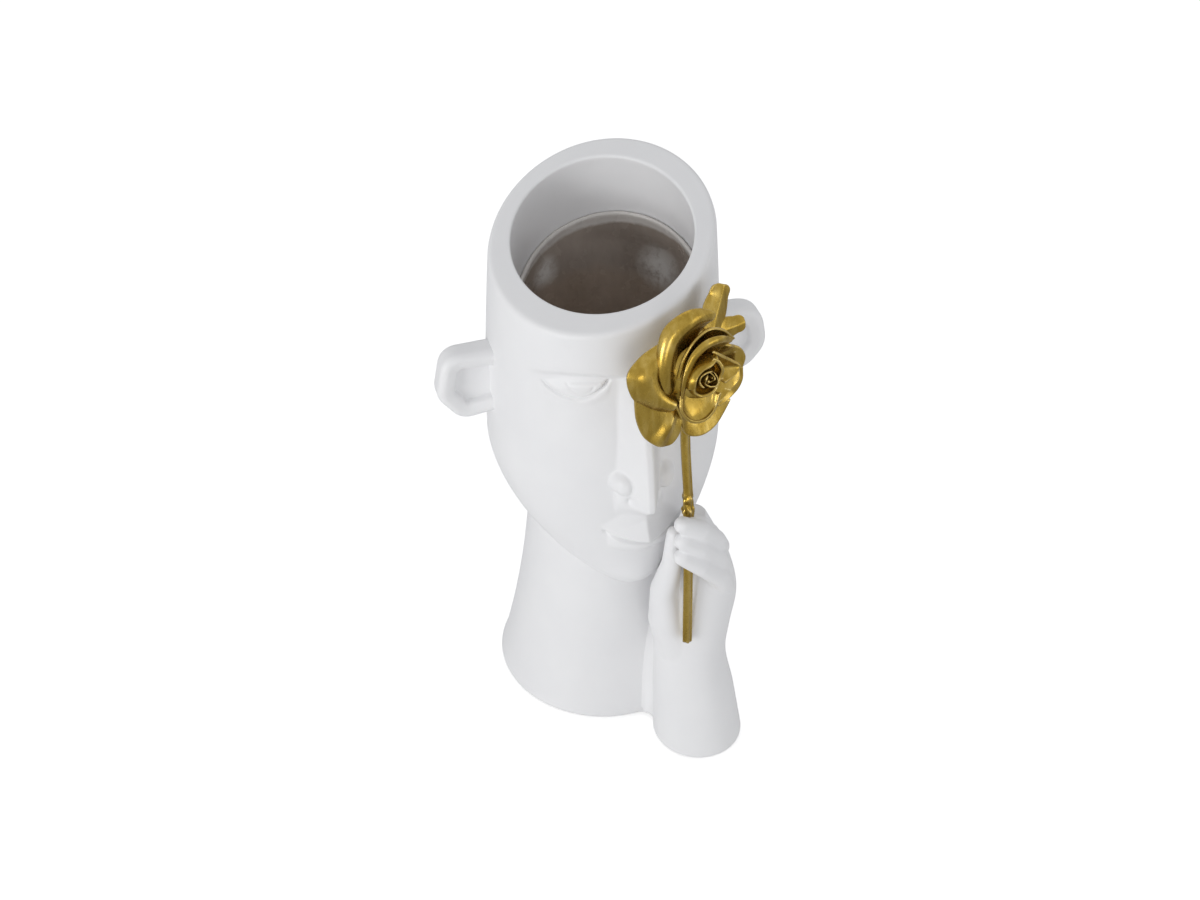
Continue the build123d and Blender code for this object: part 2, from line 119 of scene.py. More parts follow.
def circle_round(axis, turns):
    """Unit circle square to an axis."""
    side = np.cross(axis, (0.0, 1.0, 0.0))
    side /= np.linalg.norm(side)
    return np.cos(turns)[:, None] * side + np.sin(turns)[:, None] * np.cross(axis, side)


def round_points(turn, radius, level):
    """Points at angles round the Z axis, with a radius and a level for all or for each."""
    return np.stack([radius * np.cos(turn), radius * np.sin(turn), level + 0 * turn], axis=-1)


def add_piece(name, points, faces, materials):
    """Smooth-shaded mesh object from points in millimetres."""
    mesh = bpy.data.meshes.new(name)
    mesh.from_pydata((np.asarray(points, dtype=float) * MM).tolist(), [], faces)
    for material in materials:
        mesh.materials.append(material)
    piece = bpy.data.objects.new(name, mesh)
    bpy.context.scene.collection.objects.link(piece)
    tidy = bmesh.new()
    tidy.from_mesh(mesh)
    bmesh.ops.recalc_face_normals(tidy, faces=tidy.faces)
    tidy.to_mesh(mesh)
    tidy.free()
    mesh.shade_smooth()
    return piece


def grid_faces(rows, columns, first, closed):
    """Quads between rows of points, each of which may close on itself."""
    faces = []
    for row in range(rows - 1):
        low = first + row * columns
        high = low + columns
        for column in range(columns if closed else columns - 1):
            after = (column + 1) % columns
            faces.append((low + column, low + after, high + after, high + column))
    return faces


def ring_mesh(rings, first=0):
    """Closed skin over a stack of rings, with a point in the middle of the first and the last."""
    rows, columns = rings.shape[:2]
    points = rings.reshape(-1, 3).tolist()
    faces = grid_faces(rows, columns, first, True)
    for row, turn in ((0, 1), (rows - 1, -1)):
        pole = first + len(points)
        points.append(rings[row].mean(axis=0).tolist())
        start = first + row * columns
        for column in range(columns):
            edge = (start + (column + 1) % columns, start + column)
            faces.append((pole,) + (edge if turn > 0 else edge[::-1]))
    return points, faces


def ring_piece(name, rings, material):
    points, faces = ring_mesh(np.asarray(rings, dtype=float))
    return add_piece(name, points, faces, [material])


def hold(piece, node):
    """The piece hangs from the frame's root body and stands in for a node, whose own part is hidden."""
    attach(piece, "root")
    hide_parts(node)


# Materials
def new_material(name):
    material = bpy.data.materials.new(name)
    material.use_nodes = True
    tree = material.node_tree
    return material, tree, tree.nodes["Principled BSDF"]


def add_node(tree, kind, **values):
    node = tree.nodes.new(kind)
    for key, value in values.items():
        if key in node.inputs:
            node.inputs[key].default_value = value
        else:
            setattr(node, key, value)
    return node


def add_ramp(tree, source, stops):
    """Colour ramp driven by a socket; stops are (place, colour)."""
    ramp = tree.nodes.new("ShaderNodeValToRGB")
    while len(ramp.color_ramp.elements) < len(stops):
        ramp.color_ramp.elements.new(1.0)
    for element, (place, colour) in zip(ramp.color_ramp.elements, stops):
        element.position = place
        element.color = (*colour, 1.0)
    tree.links.new(source, ramp.inputs["Fac"])
    return ramp.outputs["Color"]


def vary(tree, source, low, high):
    """Noise spread between two colours."""
    return add_ramp(tree, source, [(0.3, low), (0.7, high)])


def grey(level):
    return (level, level, level)


def add_noise(tree, scale, detail=4.0, roughness=0.55, stretch=None, distortion=0.0):
    """Noise over the object's own coordinates, in cycles per metre."""
    place = tree.nodes.new("ShaderNodeTexCoord").outputs["Object"]
    if stretch:
        mapping = tree.nodes.new("ShaderNodeMapping")
        mapping.inputs["Scale"].default_value = stretch
        tree.links.new(place, mapping.inputs["Vector"])
        place = mapping.outputs["Vector"]
    texture = add_node(
        tree, "ShaderNodeTexNoise", Scale=scale, Detail=detail, Roughness=roughness, Distortion=distortion
    )
    tree.links.new(place, texture.inputs["Vector"])
    return texture.outputs["Fac"]


def mix_colour(tree, share, first, second, blend="MIX"):
    """Mix of two colours; share, first and second are sockets or plain values."""
    node = tree.nodes.new("ShaderNodeMix")
    node.data_type = "RGBA"
    node.blend_type = blend
    for socket, value in ((node.inputs[0], share), (node.inputs[6], first), (node.inputs[7], second)):
        if isinstance(value, bpy.types.NodeSocket):
            tree.links.new(value, socket)
        else:
            socket.default_value = value if isinstance(value, float) else (*value, 1.0)
    return node.outputs[2]


def add_bump(tree, shader, height, distance, strength=1.0, below=None):
    """Bump of a height socket, with its depth in metres, over an earlier bump if one is given."""
    bump = add_node(tree, "ShaderNodeBump", Strength=strength, Distance=distance)
    tree.links.new(height, bump.inputs["Height"])
    if below is not None:
        tree.links.new(below, bump.inputs["Normal"])
    tree.links.new(bump.outputs["Normal"], shader.inputs["Normal"])
    return bump.outputs["Normal"]


def measured(tree, operation, other):
    """Distance of each place from another one, or with DOT_PRODUCT its reach along a way, in metres."""
    node = add_node(tree, "ShaderNodeVectorMath", operation=operation)
    node.inputs[1].default_value = other
    tree.links.new(tree.nodes.new("ShaderNodeTexCoord").outputs["Object"], node.inputs[0])
    return node.outputs["Value"]


def raised(tree, source, pattern, reach):
    """Socket's value raised unevenly by a pattern, by up to a reach."""
    node = add_node(tree, "ShaderNodeMath", operation="MULTIPLY_ADD")
    tree.links.new(pattern, node.inputs[0])
    node.inputs[1].default_value = reach
    tree.links.new(source, node.inputs[2])
    return node.outputs[0]


def scaled(tree, source, low, high):
    """Range of a socket brought to 0 to 1."""
    node = add_node(tree, "ShaderNodeMapRange")
    node.inputs["From Min"].default_value = low
    node.inputs["From Max"].default_value = high
    tree.links.new(source, node.inputs["Value"])
    return node.outputs["Result"]


def pointiness(tree):
    """How far a place stands out, 0.5 where the surface is flat."""
    return tree.nodes.new("ShaderNodeNewGeometry").outputs["Pointiness"]


WHITE_DARK = (0.825, 0.825, 0.835)
WHITE_LIGHT = (0.855, 0.855, 0.86)
WHITE_WORN = (0.89, 0.885, 0.875)
GOLD_DARK = (0.25, 0.155, 0.02)
GOLD_MIDDLE = (0.36, 0.24, 0.042)
GOLD_LIGHT = (0.48, 0.345, 0.095)
# Painted shade for the gold's hollows and painted highlight for its edges
GOLD_HOLLOW_SHADE = (0.19, 0.115, 0.016)
GOLD_EDGE_HIGHLIGHT = (0.76, 0.60, 0.26)
RESIN_DARK = (0.32, 0.27, 0.232)
RESIN_LIGHT = (0.45, 0.39, 0.345)
# Warmer brown for the lining's lower part
LOWER_WARM_DARK = (0.35, 0.28, 0.222)
LOWER_WARM_LIGHT = (0.49, 0.405, 0.34)
# Pale colour of the painted highlights on the lining
RESIN_HIGHLIGHT = (0.78, 0.76, 0.73)
RESIN_BEAD = (0.66, 0.63, 0.60)
FELT_DARK = (0.42, 0.41, 0.40)
FELT_LIGHT = (0.62, 0.61, 0.59)
# On the lining, in metres: place and reach of the painted highlights, levels where the warmer lower part
# ends and how far they wander, and depths below the lining's edge where its pale bead ends
LINING_HIGHLIGHTS = (((0.045, 0.038, 0.2525), 0.017), ((-0.019, 0.0535, 0.252), 0.012))
LOWER_WARM_END = (0.250, 0.258)
LOWER_WARM_WANDER = 0.022
BEAD_END = (0.0030, 0.0006)
BEAD_WANDER = 0.005


def white_paint():
    """Matte white paint on cast resin: faint cloudiness, fine spray grain and thinner paint on edges."""
    material, tree, shader = new_material("white_paint")
    clouds = vary(tree, add_noise(tree, 22, 5), WHITE_DARK, WHITE_LIGHT)
    edge_wear_and_highlight = add_ramp(tree, pointiness(tree), [(0.5, grey(0)), (0.62, grey(0.6))])
    tree.links.new(mix_colour(tree, edge_wear_and_highlight, clouds, WHITE_WORN), shader.inputs["Base Color"])
    tree.links.new(vary(tree, add_noise(tree, 60), grey(0.42), grey(0.54)), shader.inputs["Roughness"])
    waves = add_bump(tree, shader, add_noise(tree, 45, 3), 0.00035, 0.5)
    add_bump(tree, shader, add_noise(tree, 900, 2), 0.00003, 0.5, waves)
    return material


def gold_paint():
    """Antique gold paint brushed along its length, with painted shade making the hollows dark brown and a
    painted highlight making the edges pale.
    """
    material, tree, shader = new_material("gold_paint")
    streaks = add_noise(tree, 160, 5, 0.6, stretch=(1.0, 1.0, 0.22), distortion=0.4)
    base = add_ramp(tree, streaks, [(0.3, GOLD_DARK), (0.5, GOLD_MIDDLE), (0.72, GOLD_LIGHT)])
    edge = pointiness(tree)
    # Painted shade: where pointiness is low, in the hollows, the gold turns dark brown
    painted_hollow_shade = add_ramp(tree, edge, [(0.40, grey(1)), (0.49, grey(0))])
    deep = mix_colour(tree, painted_hollow_shade, base, GOLD_HOLLOW_SHADE)
    # Painted highlight: where pointiness is high, on sharp edges, the gold turns pale
    edge_wear_and_highlight = add_ramp(tree, edge, [(0.52, grey(0)), (0.60, grey(0.65))])
    tree.links.new(mix_colour(tree, edge_wear_and_highlight, deep, GOLD_EDGE_HIGHLIGHT), shader.inputs["Base Color"])
    shader.inputs["Metallic"].default_value = 0.9
    tree.links.new(vary(tree, add_noise(tree, 240, 4), grey(0.20), grey(0.34)), shader.inputs["Roughness"])
    brush = add_bump(tree, shader, streaks, 0.00025, 0.5)
    add_bump(tree, shader, add_noise(tree, 1100, 2), 0.00004, 0.6, brush)
    return material


def raw_resin():
    """Glossy grey-brown lining: pale bead at its edge, a warmer lower part, streaks and painted highlights
    as pale patches.
    """
    material, tree, shader = new_material("raw_resin")
    runs = add_noise(tree, 30, 6, 0.6, stretch=(1.0, 1.0, 0.35))
    wall = vary(tree, runs, RESIN_DARK, RESIN_LIGHT)
    # Warmer brown below a level that wanders
    warm_lower = vary(tree, runs, LOWER_WARM_DARK, LOWER_WARM_LIGHT)
    height = measured(tree, "DOT_PRODUCT", (0, 0, 1))
    level = raised(tree, height, add_noise(tree, 24, 3), LOWER_WARM_WANDER)
    body = mix_colour(tree, scaled(tree, level, *LOWER_WARM_END), warm_lower, wall)
    # Painted highlights: pale mottled patches round two fixed spots on the lining
    highlight_mottle = add_ramp(tree, add_noise(tree, 70, 5, 0.65), [(0.36, grey(0)), (0.52, grey(1))])
    for spot, reach in LINING_HIGHLIGHTS:
        near = scaled(tree, measured(tree, "DISTANCE", spot), reach, reach * 0.3)
        body = mix_colour(tree, mix_colour(tree, 1.0, near, highlight_mottle, "MULTIPLY"), body, RESIN_HIGHLIGHT)
    height = measured(tree, "DOT_PRODUCT", (-RIM_SLOPE_SIDE, -RIM_SLOPE_BACK, 1))
    level = raised(tree, height, add_noise(tree, 90, 4), BEAD_WANDER)
    edge = (RIM_HEIGHT - LINER_EDGE_DROP) * MM
    bead = scaled(tree, level, edge - BEAD_END[0], edge - BEAD_END[1])
    tree.links.new(mix_colour(tree, bead, body, RESIN_BEAD), shader.inputs["Base Color"])
    tree.links.new(vary(tree, add_noise(tree, 70, 4), grey(0.16), grey(0.34)), shader.inputs["Roughness"])
    lumps = add_bump(tree, shader, add_noise(tree, 38, 4), 0.0016, 0.6)
    add_bump(tree, shader, runs, 0.0004, 0.5, lumps)
    return material


def felt():
    """Pale felt with a fibrous nap."""
    material, tree, shader = new_material("felt")
    fibres = add_noise(tree, 1400, 6, 0.7, stretch=(1.0, 0.3, 1.0), distortion=1.5)
    tree.links.new(vary(tree, fibres, FELT_DARK, FELT_LIGHT), shader.inputs["Base Color"])
    shader.inputs["Roughness"].default_value = 0.95
    shader.inputs["Sheen Weight"].default_value = 0.3
    add_bump(tree, shader, fibres, 0.0003, 0.8)
    return material


WHITE = white_paint()
GOLD = gold_paint()
RESIN = raw_resin()
FELT = felt()


# Head and face
def head_plan(height):
    """Half width, front and back of the head at each height."""
    rise = (np.clip(height - CHEEK_HEIGHT, 0, None) / (RIM_HEIGHT - CHEEK_HEIGHT)) ** 1.7
    drop = np.clip((CHEEK_HEIGHT - height) / (CHEEK_HEIGHT - CHIN_HEIGHT), 0, 1)
    jaw_half = CHEEK_HALF_WIDTH * (1 - drop**JAW_POWER) ** (1 / JAW_POWER)
    jaw_front = -CHIN_SETBACK - (FACE_FRONT - CHIN_SETBACK) * (1 - drop**CHIN_POWER) ** (1 / CHIN_POWER)
    jaw_back = -CHIN_SETBACK + (HEAD_BACK + CHIN_SETBACK) * (1 - drop**BACK_POWER) ** (1 / BACK_POWER)
    above = height >= CHEEK_HEIGHT
    half = np.where(above, CHEEK_HALF_WIDTH - (CHEEK_HALF_WIDTH - RIM_HALF_WIDTH) * rise, jaw_half)
    front = np.where(above, RIM_DRAW_IN * rise - FACE_FRONT, jaw_front)
    back = np.where(above, HEAD_BACK - RIM_DRAW_IN * rise, jaw_back)
    return half, front, back


def head_wall(turn, height, inset):
    """Points of the head's wall at an angle round it and a height, drawn in by an inset."""
    half, front, back = head_plan(height)
    x = (half - inset) * np.cos(turn)
    y = (front + back) / 2 + ((back - front) / 2 - inset) * np.sin(turn)
    return x, y


def cavity_wall(turn, height, inset):
    """Points of the leaning cavity's wall at an angle round it and a height."""
    knee = RIM_HEIGHT - LINER_DEPTH
    low_depth = LINER_DEPTH * (height - CAVITY_FLOOR) / (knee - CAVITY_FLOOR)
    lean = CAVITY_LEAN * np.where(height >= knee, RIM_HEIGHT - height, low_depth)
    x, y = head_wall(turn, height, inset)
    return x + lean * RIM_SLOPE_SIDE, y + lean * RIM_SLOPE_BACK


def slanted_height_at(wall, turn, inset, drop=0.0):
    """Height at which a wall meets the plane of the rim, or a plane that lies lower by a drop."""
    height = np.full_like(turn, RIM_HEIGHT - drop)
    for _ in range(8):
        x, y = wall(turn, height, inset)
        height = RIM_HEIGHT - drop + RIM_SLOPE_BACK * y + RIM_SLOPE_SIDE * x
    return height


# Brow and eye socket: offsets count from the face's middle line, and a fade runs from nothing to full
BROW_PEAK_OFFSET = 25.0
BROW_PEAK_HEIGHT = 260.5
BROW_BEND = 142.0
BROW_RIDGE = 1.2
BROW_FADE = (62.0, 45.0)
SOCKET_DEPTH = 4.6
SOCKET_OUTER_FADE = (60.0, 40.0)
SOCKET_INNER_FADE = (4.0, 14.0)
SOCKET_LOW_FADE = (206.0, 244.0)


def brow_relief(across, height):
    """Soft shelf of the brow over the eye, with the socket below it."""
    line = BROW_PEAK_HEIGHT - (across - BROW_PEAK_OFFSET) ** 2 / BROW_BEND
    inside = smooth_step(*SOCKET_OUTER_FADE, across) * smooth_step(*SOCKET_INNER_FADE, across)
    socket = smooth_step(line + 2.5, line - 3.5, height) * smooth_step(*SOCKET_LOW_FADE, height)
    ridge = hill(height, line + 5, 8) * smooth_step(*BROW_FADE, across)
    return ridge * BROW_RIDGE - socket * inside * SOCKET_DEPTH


# Lowered lid
LID_OFFSET = 35.0
LID_LOW_HEIGHT = 242.2
LID_LOW_BEND = 24.6
LID_TOP_HEIGHT = 256.0
LID_TOP_DROP = 7.0
LID_INNER_OFFSET = 16.5
LID_WIDTH = 31.4
LID_BULGE = 2.8
LID_INNER_FADE = (15.2, 18.5)
LID_OUTER_FADE = (49.5, 46.5)
LASH_DEPTH = 1.7
LASH_HALF_WIDTH = 0.85
LID_FOLD_DEPTH = 0.7
LID_FOLD_INNER_FADE = (15.5, 18.0)
LID_FOLD_OUTER_FADE = (42.0, 30.0)
IRIS_OFFSET = 31.5
IRIS_HEIGHT = 253.5
IRIS_RADIUS = 6.2
IRIS_DEPTH = 0.55


def eye_relief(across, height):
    """Lowered lid: a half moon with an engraved lower edge, a straight upper edge and a faint iris."""
    low = LID_LOW_HEIGHT + (across - LID_OFFSET) ** 2 / LID_LOW_BEND
    top = LID_TOP_HEIGHT - LID_TOP_DROP * np.clip((across - LID_INNER_OFFSET) / LID_WIDTH, 0, 1.2) ** 2
    over_low = (height - low) / np.sqrt(1 + ((across - LID_OFFSET) / (LID_LOW_BEND / 2)) ** 2)
    lens = smooth_step(-0.5, 3.5, over_low) * smooth_step(2.5, -3.5, height - top)
    span = smooth_step(*LID_INNER_FADE, across) * smooth_step(*LID_OUTER_FADE, across)
    lid = LID_BULGE * lens * span
    lash = LASH_DEPTH * hill(over_low, 0, LASH_HALF_WIDTH) * span
    lash = lash * smooth_step(LID_TOP_HEIGHT + 2, LID_TOP_HEIGHT - 2, height)
    under = 0.6 * hill(over_low, -2.6, 2.0) * span
    fold = LID_FOLD_DEPTH * hill(height - top, -0.4, 0.7)
    fold = fold * smooth_step(*LID_FOLD_INNER_FADE, across) * smooth_step(*LID_FOLD_OUTER_FADE, across)
    ring = np.hypot(across - IRIS_OFFSET, height - IRIS_HEIGHT)
    iris = IRIS_DEPTH * hill(ring, IRIS_RADIUS, 0.65) * smooth_step(IRIS_HEIGHT, IRIS_HEIGHT - 1.5, height)
    return lid - lash + under - fold - iris


# Nose
NOSE_TIP_HEIGHT = 181.5
NOSE_TIP_FADE = (167.5, 183.5)
NOSE_ROOT_HEIGHT = 262.0
NOSE_ROOT_FADE = (272.0, 254.0)
NOSE_REACH = 19.0
NOSE_ROOT_REACH = 1.2
NOSE_RIDGE_HALF_WIDTH = 2.1
NOSE_BASE_LEFT = 15.5
NOSE_BASE_RIGHT = 12.5
NOSE_NARROWING = 5.0
WING_OFFSET = 11.4
WING_HEIGHT = 192.0
WING_HALF_WIDTH = 6.8
WING_HALF_HEIGHT = 7.6
WING_REACH = 9.6
WING_CREASE = 1.2
NOSTRIL_OFFSET = 8.0
NOSTRIL_DEPTH = 5.5


def nose_relief(offset, across, height):
    """Wedge with a narrow flat ridge, a square tip and round wings with nostrils."""
    rise = np.clip((height - NOSE_TIP_HEIGHT) / (NOSE_ROOT_HEIGHT - NOSE_TIP_HEIGHT), 0, 1)
    ridge = NOSE_REACH * (1 - rise) ** 0.85 + NOSE_ROOT_REACH * rise
    ridge = ridge * smooth_step(*NOSE_TIP_FADE, height) ** 0.8 * smooth_step(*NOSE_ROOT_FADE, height)
    base = np.where(offset < 0, NOSE_BASE_LEFT, NOSE_BASE_RIGHT) - NOSE_NARROWING * rise
    flank = (np.abs(offset) - NOSE_RIDGE_HALF_WIDTH) / (base - NOSE_RIDGE_HALF_WIDTH)
    flank = np.clip(flank, 0, 1)
    wedge = ridge * (1 - flank) * (1 - 0.12 * np.sin(np.pi * flank))
    ball = np.hypot((across - WING_OFFSET) / WING_HALF_WIDTH, (height - WING_HEIGHT) / WING_HALF_HEIGHT)
    crease = WING_CREASE * hill(ball, 1.12, 0.14) * smooth_step(9, 12, across)
    wing = np.clip(1 - ball**2, 0, 1) ** 0.5 * WING_REACH - crease
    nostril = NOSTRIL_DEPTH * hill(across, NOSTRIL_OFFSET, 2.4) * hill(height, NOSE_TIP_HEIGHT, 3.2)
    return np.maximum(wedge, wing) - nostril


# Mouth and chin
MOUTH_HEIGHT = 151.5
MOUTH_HALF_WIDTH = 24.0
MOUTH_CORNER_RISE = 6.0
LIP_LINE_DEPTH = 2.2
UPPER_LIP_HEIGHT = 13.0
UPPER_LIP_EDGE = 0.8
UPPER_LIP_REACH = 11.0
LOWER_LIP_HEIGHT = 11.0
LOWER_LIP_HALF_WIDTH = 20.0
LOWER_LIP_REACH = 6.6
CHIN_BULGE = 4.2
CHIN_BULGE_HEIGHT = 121.0


def mouth_relief(across, height):
    """Tent-shaped upper lip, a drawn-in line between the lips and a full lower lip over the chin."""
    share = np.clip(1 - across / MOUTH_HALF_WIDTH, 0, 1)
    line = MOUTH_HEIGHT + MOUTH_CORNER_RISE * (across / MOUTH_HALF_WIDTH) ** 2
    peak = line + UPPER_LIP_HEIGHT * share**0.85 + UPPER_LIP_EDGE
    above = (height - line) / (peak - line)
    upper = UPPER_LIP_REACH * share**0.8 * (1 - 0.62 * np.clip(above, 0, 1))
    upper = upper * smooth_step(line - 1.0, line + 0.8, height) * smooth_step(2.2, 0.95, above)
    below = np.clip((line - height) / LOWER_LIP_HEIGHT, 0, 1)
    lower = LOWER_LIP_REACH * np.clip(1 - (across / LOWER_LIP_HALF_WIDTH) ** 2, 0, 1) ** 0.6
    lower = lower * np.clip(np.sin(np.pi * below**0.72), 0, 1) ** 0.7
    chin = CHIN_BULGE * hill(height, CHIN_BULGE_HEIGHT, 9.5) * hill(across, 0, 17)
    groove = LIP_LINE_DEPTH * hill(height, line - 0.6, 1.1) * smooth_step(0.0, 0.12, share)
    return upper + lower + chin - groove


def soften(field, times):
    """Blurs a field over its rows and columns."""
    for _ in range(times):
        inner = field[1:-1] * 2 + field[:-2] + field[2:]
        field = np.vstack([field[:1], inner / 4, field[-1:]])
        field = (np.roll(field, 1, 1) + 2 * field + np.roll(field, -1, 1)) / 4
    return field


def head_turns():
    """Angles round the head, close together over the face."""
    face = -np.arccos(np.linspace(-0.79, 0.79, 190))
    rest = np.linspace(face[-1], face[0] + 2 * math.pi, 130)[1:-1]
    return np.sort(np.mod(np.concatenate([face, rest]), 2 * math.pi))


def head_rings():
    turns = head_turns()
    low_levels = CHIN_HEIGHT + 5.0 * np.linspace(0.05, 1, 8) ** 1.6
    face_levels = np.arange(FACE_LOW, FACE_TOP, FACE_ROW)
    levels = np.concatenate([low_levels, face_levels, np.arange(FACE_TOP, CROWN_LOW, CROWN_ROW)])
    top = slanted_height_at(head_wall, turns, 0.0) - RIM_OUTER_ROUND
    steps = np.linspace(0, 1, 26)[:, None]
    height = np.vstack([np.repeat(levels[:, None], len(turns), 1), CROWN_LOW + steps * (top - CROWN_LOW)])
    turn = np.repeat(turns[None, :], len(height), 0)
    x, y = head_wall(turn, height, 0.0)
    across = np.abs(x - FACE_AXIS)
    front = smooth_step(0.02, 0.3, -np.sin(turn))
    nose = nose_relief(x - NOSE_AXIS, across, height)
    mouth = mouth_relief(np.abs(x - MOUTH_AXIS), height)
    broad = soften(brow_relief(across, height) + nose + mouth, 2)
    fine = eye_relief(across, height) * smooth_step(10, 14, across)
    y = y - (broad + fine) * front
    outside = np.stack([x, y, height], axis=-1)
    return np.concatenate([outside, rim_rings(turns), inside_rings(turns)])


def wall_points(wall, turns, height, inset):
    x, y = wall(turns, height, inset)
    return np.stack([x, y, height], axis=-1)


def rim_corner(wall, turns, inset):
    """Sharp corner of the rim, before it is rounded."""
    return wall_points(wall, turns, slanted_height_at(wall, turns, inset), inset)


def rim_rings(turns):
    """Rounded outer edge, flat slanted top and rounded inner edge of the rim."""
    outer, inner = rim_corner(head_wall, turns, 0.0), rim_corner(cavity_wall, turns, RIM_WALL)
    across = (inner - outer) / np.linalg.norm(inner - outer, axis=-1, keepdims=True)
    down = np.array([0.0, 0.0, -1.0])
    rings = []
    for corner, before, after, size in (
        (outer, down, across, RIM_OUTER_ROUND),
        (inner, -across, down, RIM_INNER_ROUND),
    ):
        start, end = corner + before * size, corner + after * size
        for share in np.linspace(0, 1, 9):
            rings.append((1 - share) ** 2 * start + 2 * share * (1 - share) * corner + share**2 * end)
    middle = [rings[8] + (rings[9] - rings[8]) * share for share in (0.04, 0.5, 0.96)]
    return np.array(rings[1:9] + middle + rings[9:])


def cup_rings(turns, top, inset, floor, floor_round):
    """Wall and rounded floor of the cavity or of the cup in it, from the top down."""
    rings = []
    for share in np.linspace(0, 1, 46)[1:]:
        height = top + (floor + floor_round - top) * share
        rings.append(wall_points(cavity_wall, turns, height, inset))
    for bend in np.linspace(0, math.pi / 2, 9)[1:]:
        height = np.full_like(turns, floor + floor_round * (1 - math.sin(bend)))
        drawn_in = inset + floor_round * (1 - math.cos(bend))
        rings.append(wall_points(cavity_wall, turns, height, drawn_in))
    return rings


def inside_rings(turns):
    top = slanted_height_at(cavity_wall, turns, RIM_WALL) - RIM_INNER_ROUND
    return np.array(cup_rings(turns, top, RIM_WALL, CAVITY_FLOOR, CAVITY_FLOOR_ROUND))


def make_head():
    hold(ring_piece("head", head_rings(), WHITE), "head_shell")


# Neck
NECK_BASE_RADIUS = 64.0
NECK_TOP_RADIUS = 44.0
NECK_TOP = 128.0
NECK_FLARE = 3.0
NECK_FOOT_ROUND = 3.0
NECK_HIDDEN_TOP = 150.0
PAD_THICKNESS = 2.0


def neck_radius(height):
    share = (height - PAD_THICKNESS) / (NECK_TOP - PAD_THICKNESS)
    cone = NECK_BASE_RADIUS + (NECK_TOP_RADIUS - NECK_BASE_RADIUS) * share
    return cone - NECK_FLARE * 4 * share * (1 - share)


def make_neck():
    """Flared neck with a softly rounded foot, its top out of sight inside the head."""
    turns = full_turn(160)
    profile = [(NECK_BASE_RADIUS - 9, PAD_THICKNESS)]
    for bend in np.linspace(0, math.pi / 2, 7):
        radius = NECK_BASE_RADIUS - NECK_FOOT_ROUND + NECK_FOOT_ROUND * math.sin(bend)
        profile.append((radius, PAD_THICKNESS + NECK_FOOT_ROUND - NECK_FOOT_ROUND * math.cos(bend)))
    for height in np.linspace(PAD_THICKNESS + 1.5 * NECK_FOOT_ROUND, NECK_HIDDEN_TOP, 70):
        profile.append((neck_radius(min(height, NECK_TOP + 8)), height))
    rings = [round_points(turns, radius, height) for radius, height in profile]
    hold(ring_piece("neck", rings, WHITE), "neck_pedestal")


# Ears
EAR_HEIGHT = 225.0
EAR_HALF_THICKNESS = 7.5
EAR_EDGE_ROUND = 4.0
EAR_CORNERS = ((55.0, -17.0), (83.0, -22.0), (96.0, -5.0), (91.0, 22.0), (55.0, 22.0))
EAR_ROOT_ROUND = 2.0
EAR_LEFT_ROUND = 17.0
EAR_RIGHT_ROUND = 12.5
EAR_ROOT_FLARE = 1.8
# Inset and depth of each ring from the sunk panel out to the border
EAR_PANEL = (
    (10.6, -2.2), (10.2, -2.3), (9.9, -2.9), (9.6, -4.6), (9.2, -5.8), (8.4, -6.4), (6.0, -7.0), (4.6, -7.4)
)


def ear_outline(inset, corner_round):
    """Rounded outline of the ear seen from the front, drawn in by an inset."""
    corners = np.array(EAR_CORNERS)
    sizes = (EAR_ROOT_ROUND, corner_round, corner_round, corner_round, EAR_ROOT_ROUND)
    outline = []
    for index, (corner, size) in enumerate(zip(corners, sizes)):
        to_last = corners[index - 1] - corner
        to_next = corners[(index + 1) % len(corners)] - corner
        to_last /= np.linalg.norm(to_last)
        to_next /= np.linalg.norm(to_next)
        half = math.acos(to_last @ to_next) / 2
        inward = (to_last + to_next) / np.linalg.norm(to_last + to_next)
        cut = max(size - inset, 1.2) / math.tan(half)
        for share in np.linspace(0, 1, 24):
            blend = ((1 - share) ** 2 * to_last + share**2 * to_next) * cut
            outline.append(corner + inward * inset / math.sin(half) + blend)
    return np.array(outline)


def make_ear(name, node, side, corner_round):
    """Thick slab with a broad sloping border round a sunk panel, flared where it meets the head."""

    def ring(inset, depth):
        flat = ear_outline(inset, corner_round)
        near_head = np.exp(-np.clip(flat[:, 0] - CHEEK_HALF_WIDTH + 1, 0, None) / 3)
        flare = EAR_ROOT_FLARE * near_head * (depth / EAR_HALF_THICKNESS) ** 3
        return np.stack([side * flat[:, 0], depth + flare, flat[:, 1] + EAR_HEIGHT], axis=-1)

    rings = [ring(inset, depth) for inset, depth in EAR_PANEL]
    bends = np.linspace(0, math.pi / 2, 8)
    insets = EAR_EDGE_ROUND * (1 - np.sin(bends))
    depths = EAR_HALF_THICKNESS - EAR_EDGE_ROUND * (1 - np.cos(bends))
    rings += [ring(inset, -depth) for inset, depth in zip(insets, depths)]
    rings += [ring(inset, depth) for inset, depth in zip(insets[::-1], depths[::-1])]
    rings += [ring(7.0, EAR_HALF_THICKNESS), ring(10.4, EAR_HALF_THICKNESS + 0.1)]
    hold(ring_piece(name, rings, WHITE), node)


# Forearm and hand
BONE_SIDES = 28
SKIN_VOXEL = 0.75
SKIN_RELAX = 7


def bone_rings(start, start_radius, end, end_radius):
    """Rings of a round-ended tapered limb between two points."""
    start, end = np.array(start, dtype=float), np.array(end, dtype=float)
    axis = (end - start) / np.linalg.norm(end - start)
    circle = circle_round(axis, full_turn(BONE_SIDES))
    rings = []
    for centre, radius, bends in (
        (start, start_radius, np.linspace(-math.pi / 2, 0, 9)[1:]),
        (end, end_radius, np.linspace(0, math.pi / 2, 9)[:-1]),
    ):
        for bend in bends:
            rings.append(centre + axis * radius * math.sin(bend) + circle * radius * math.cos(bend))
    return np.array(rings)


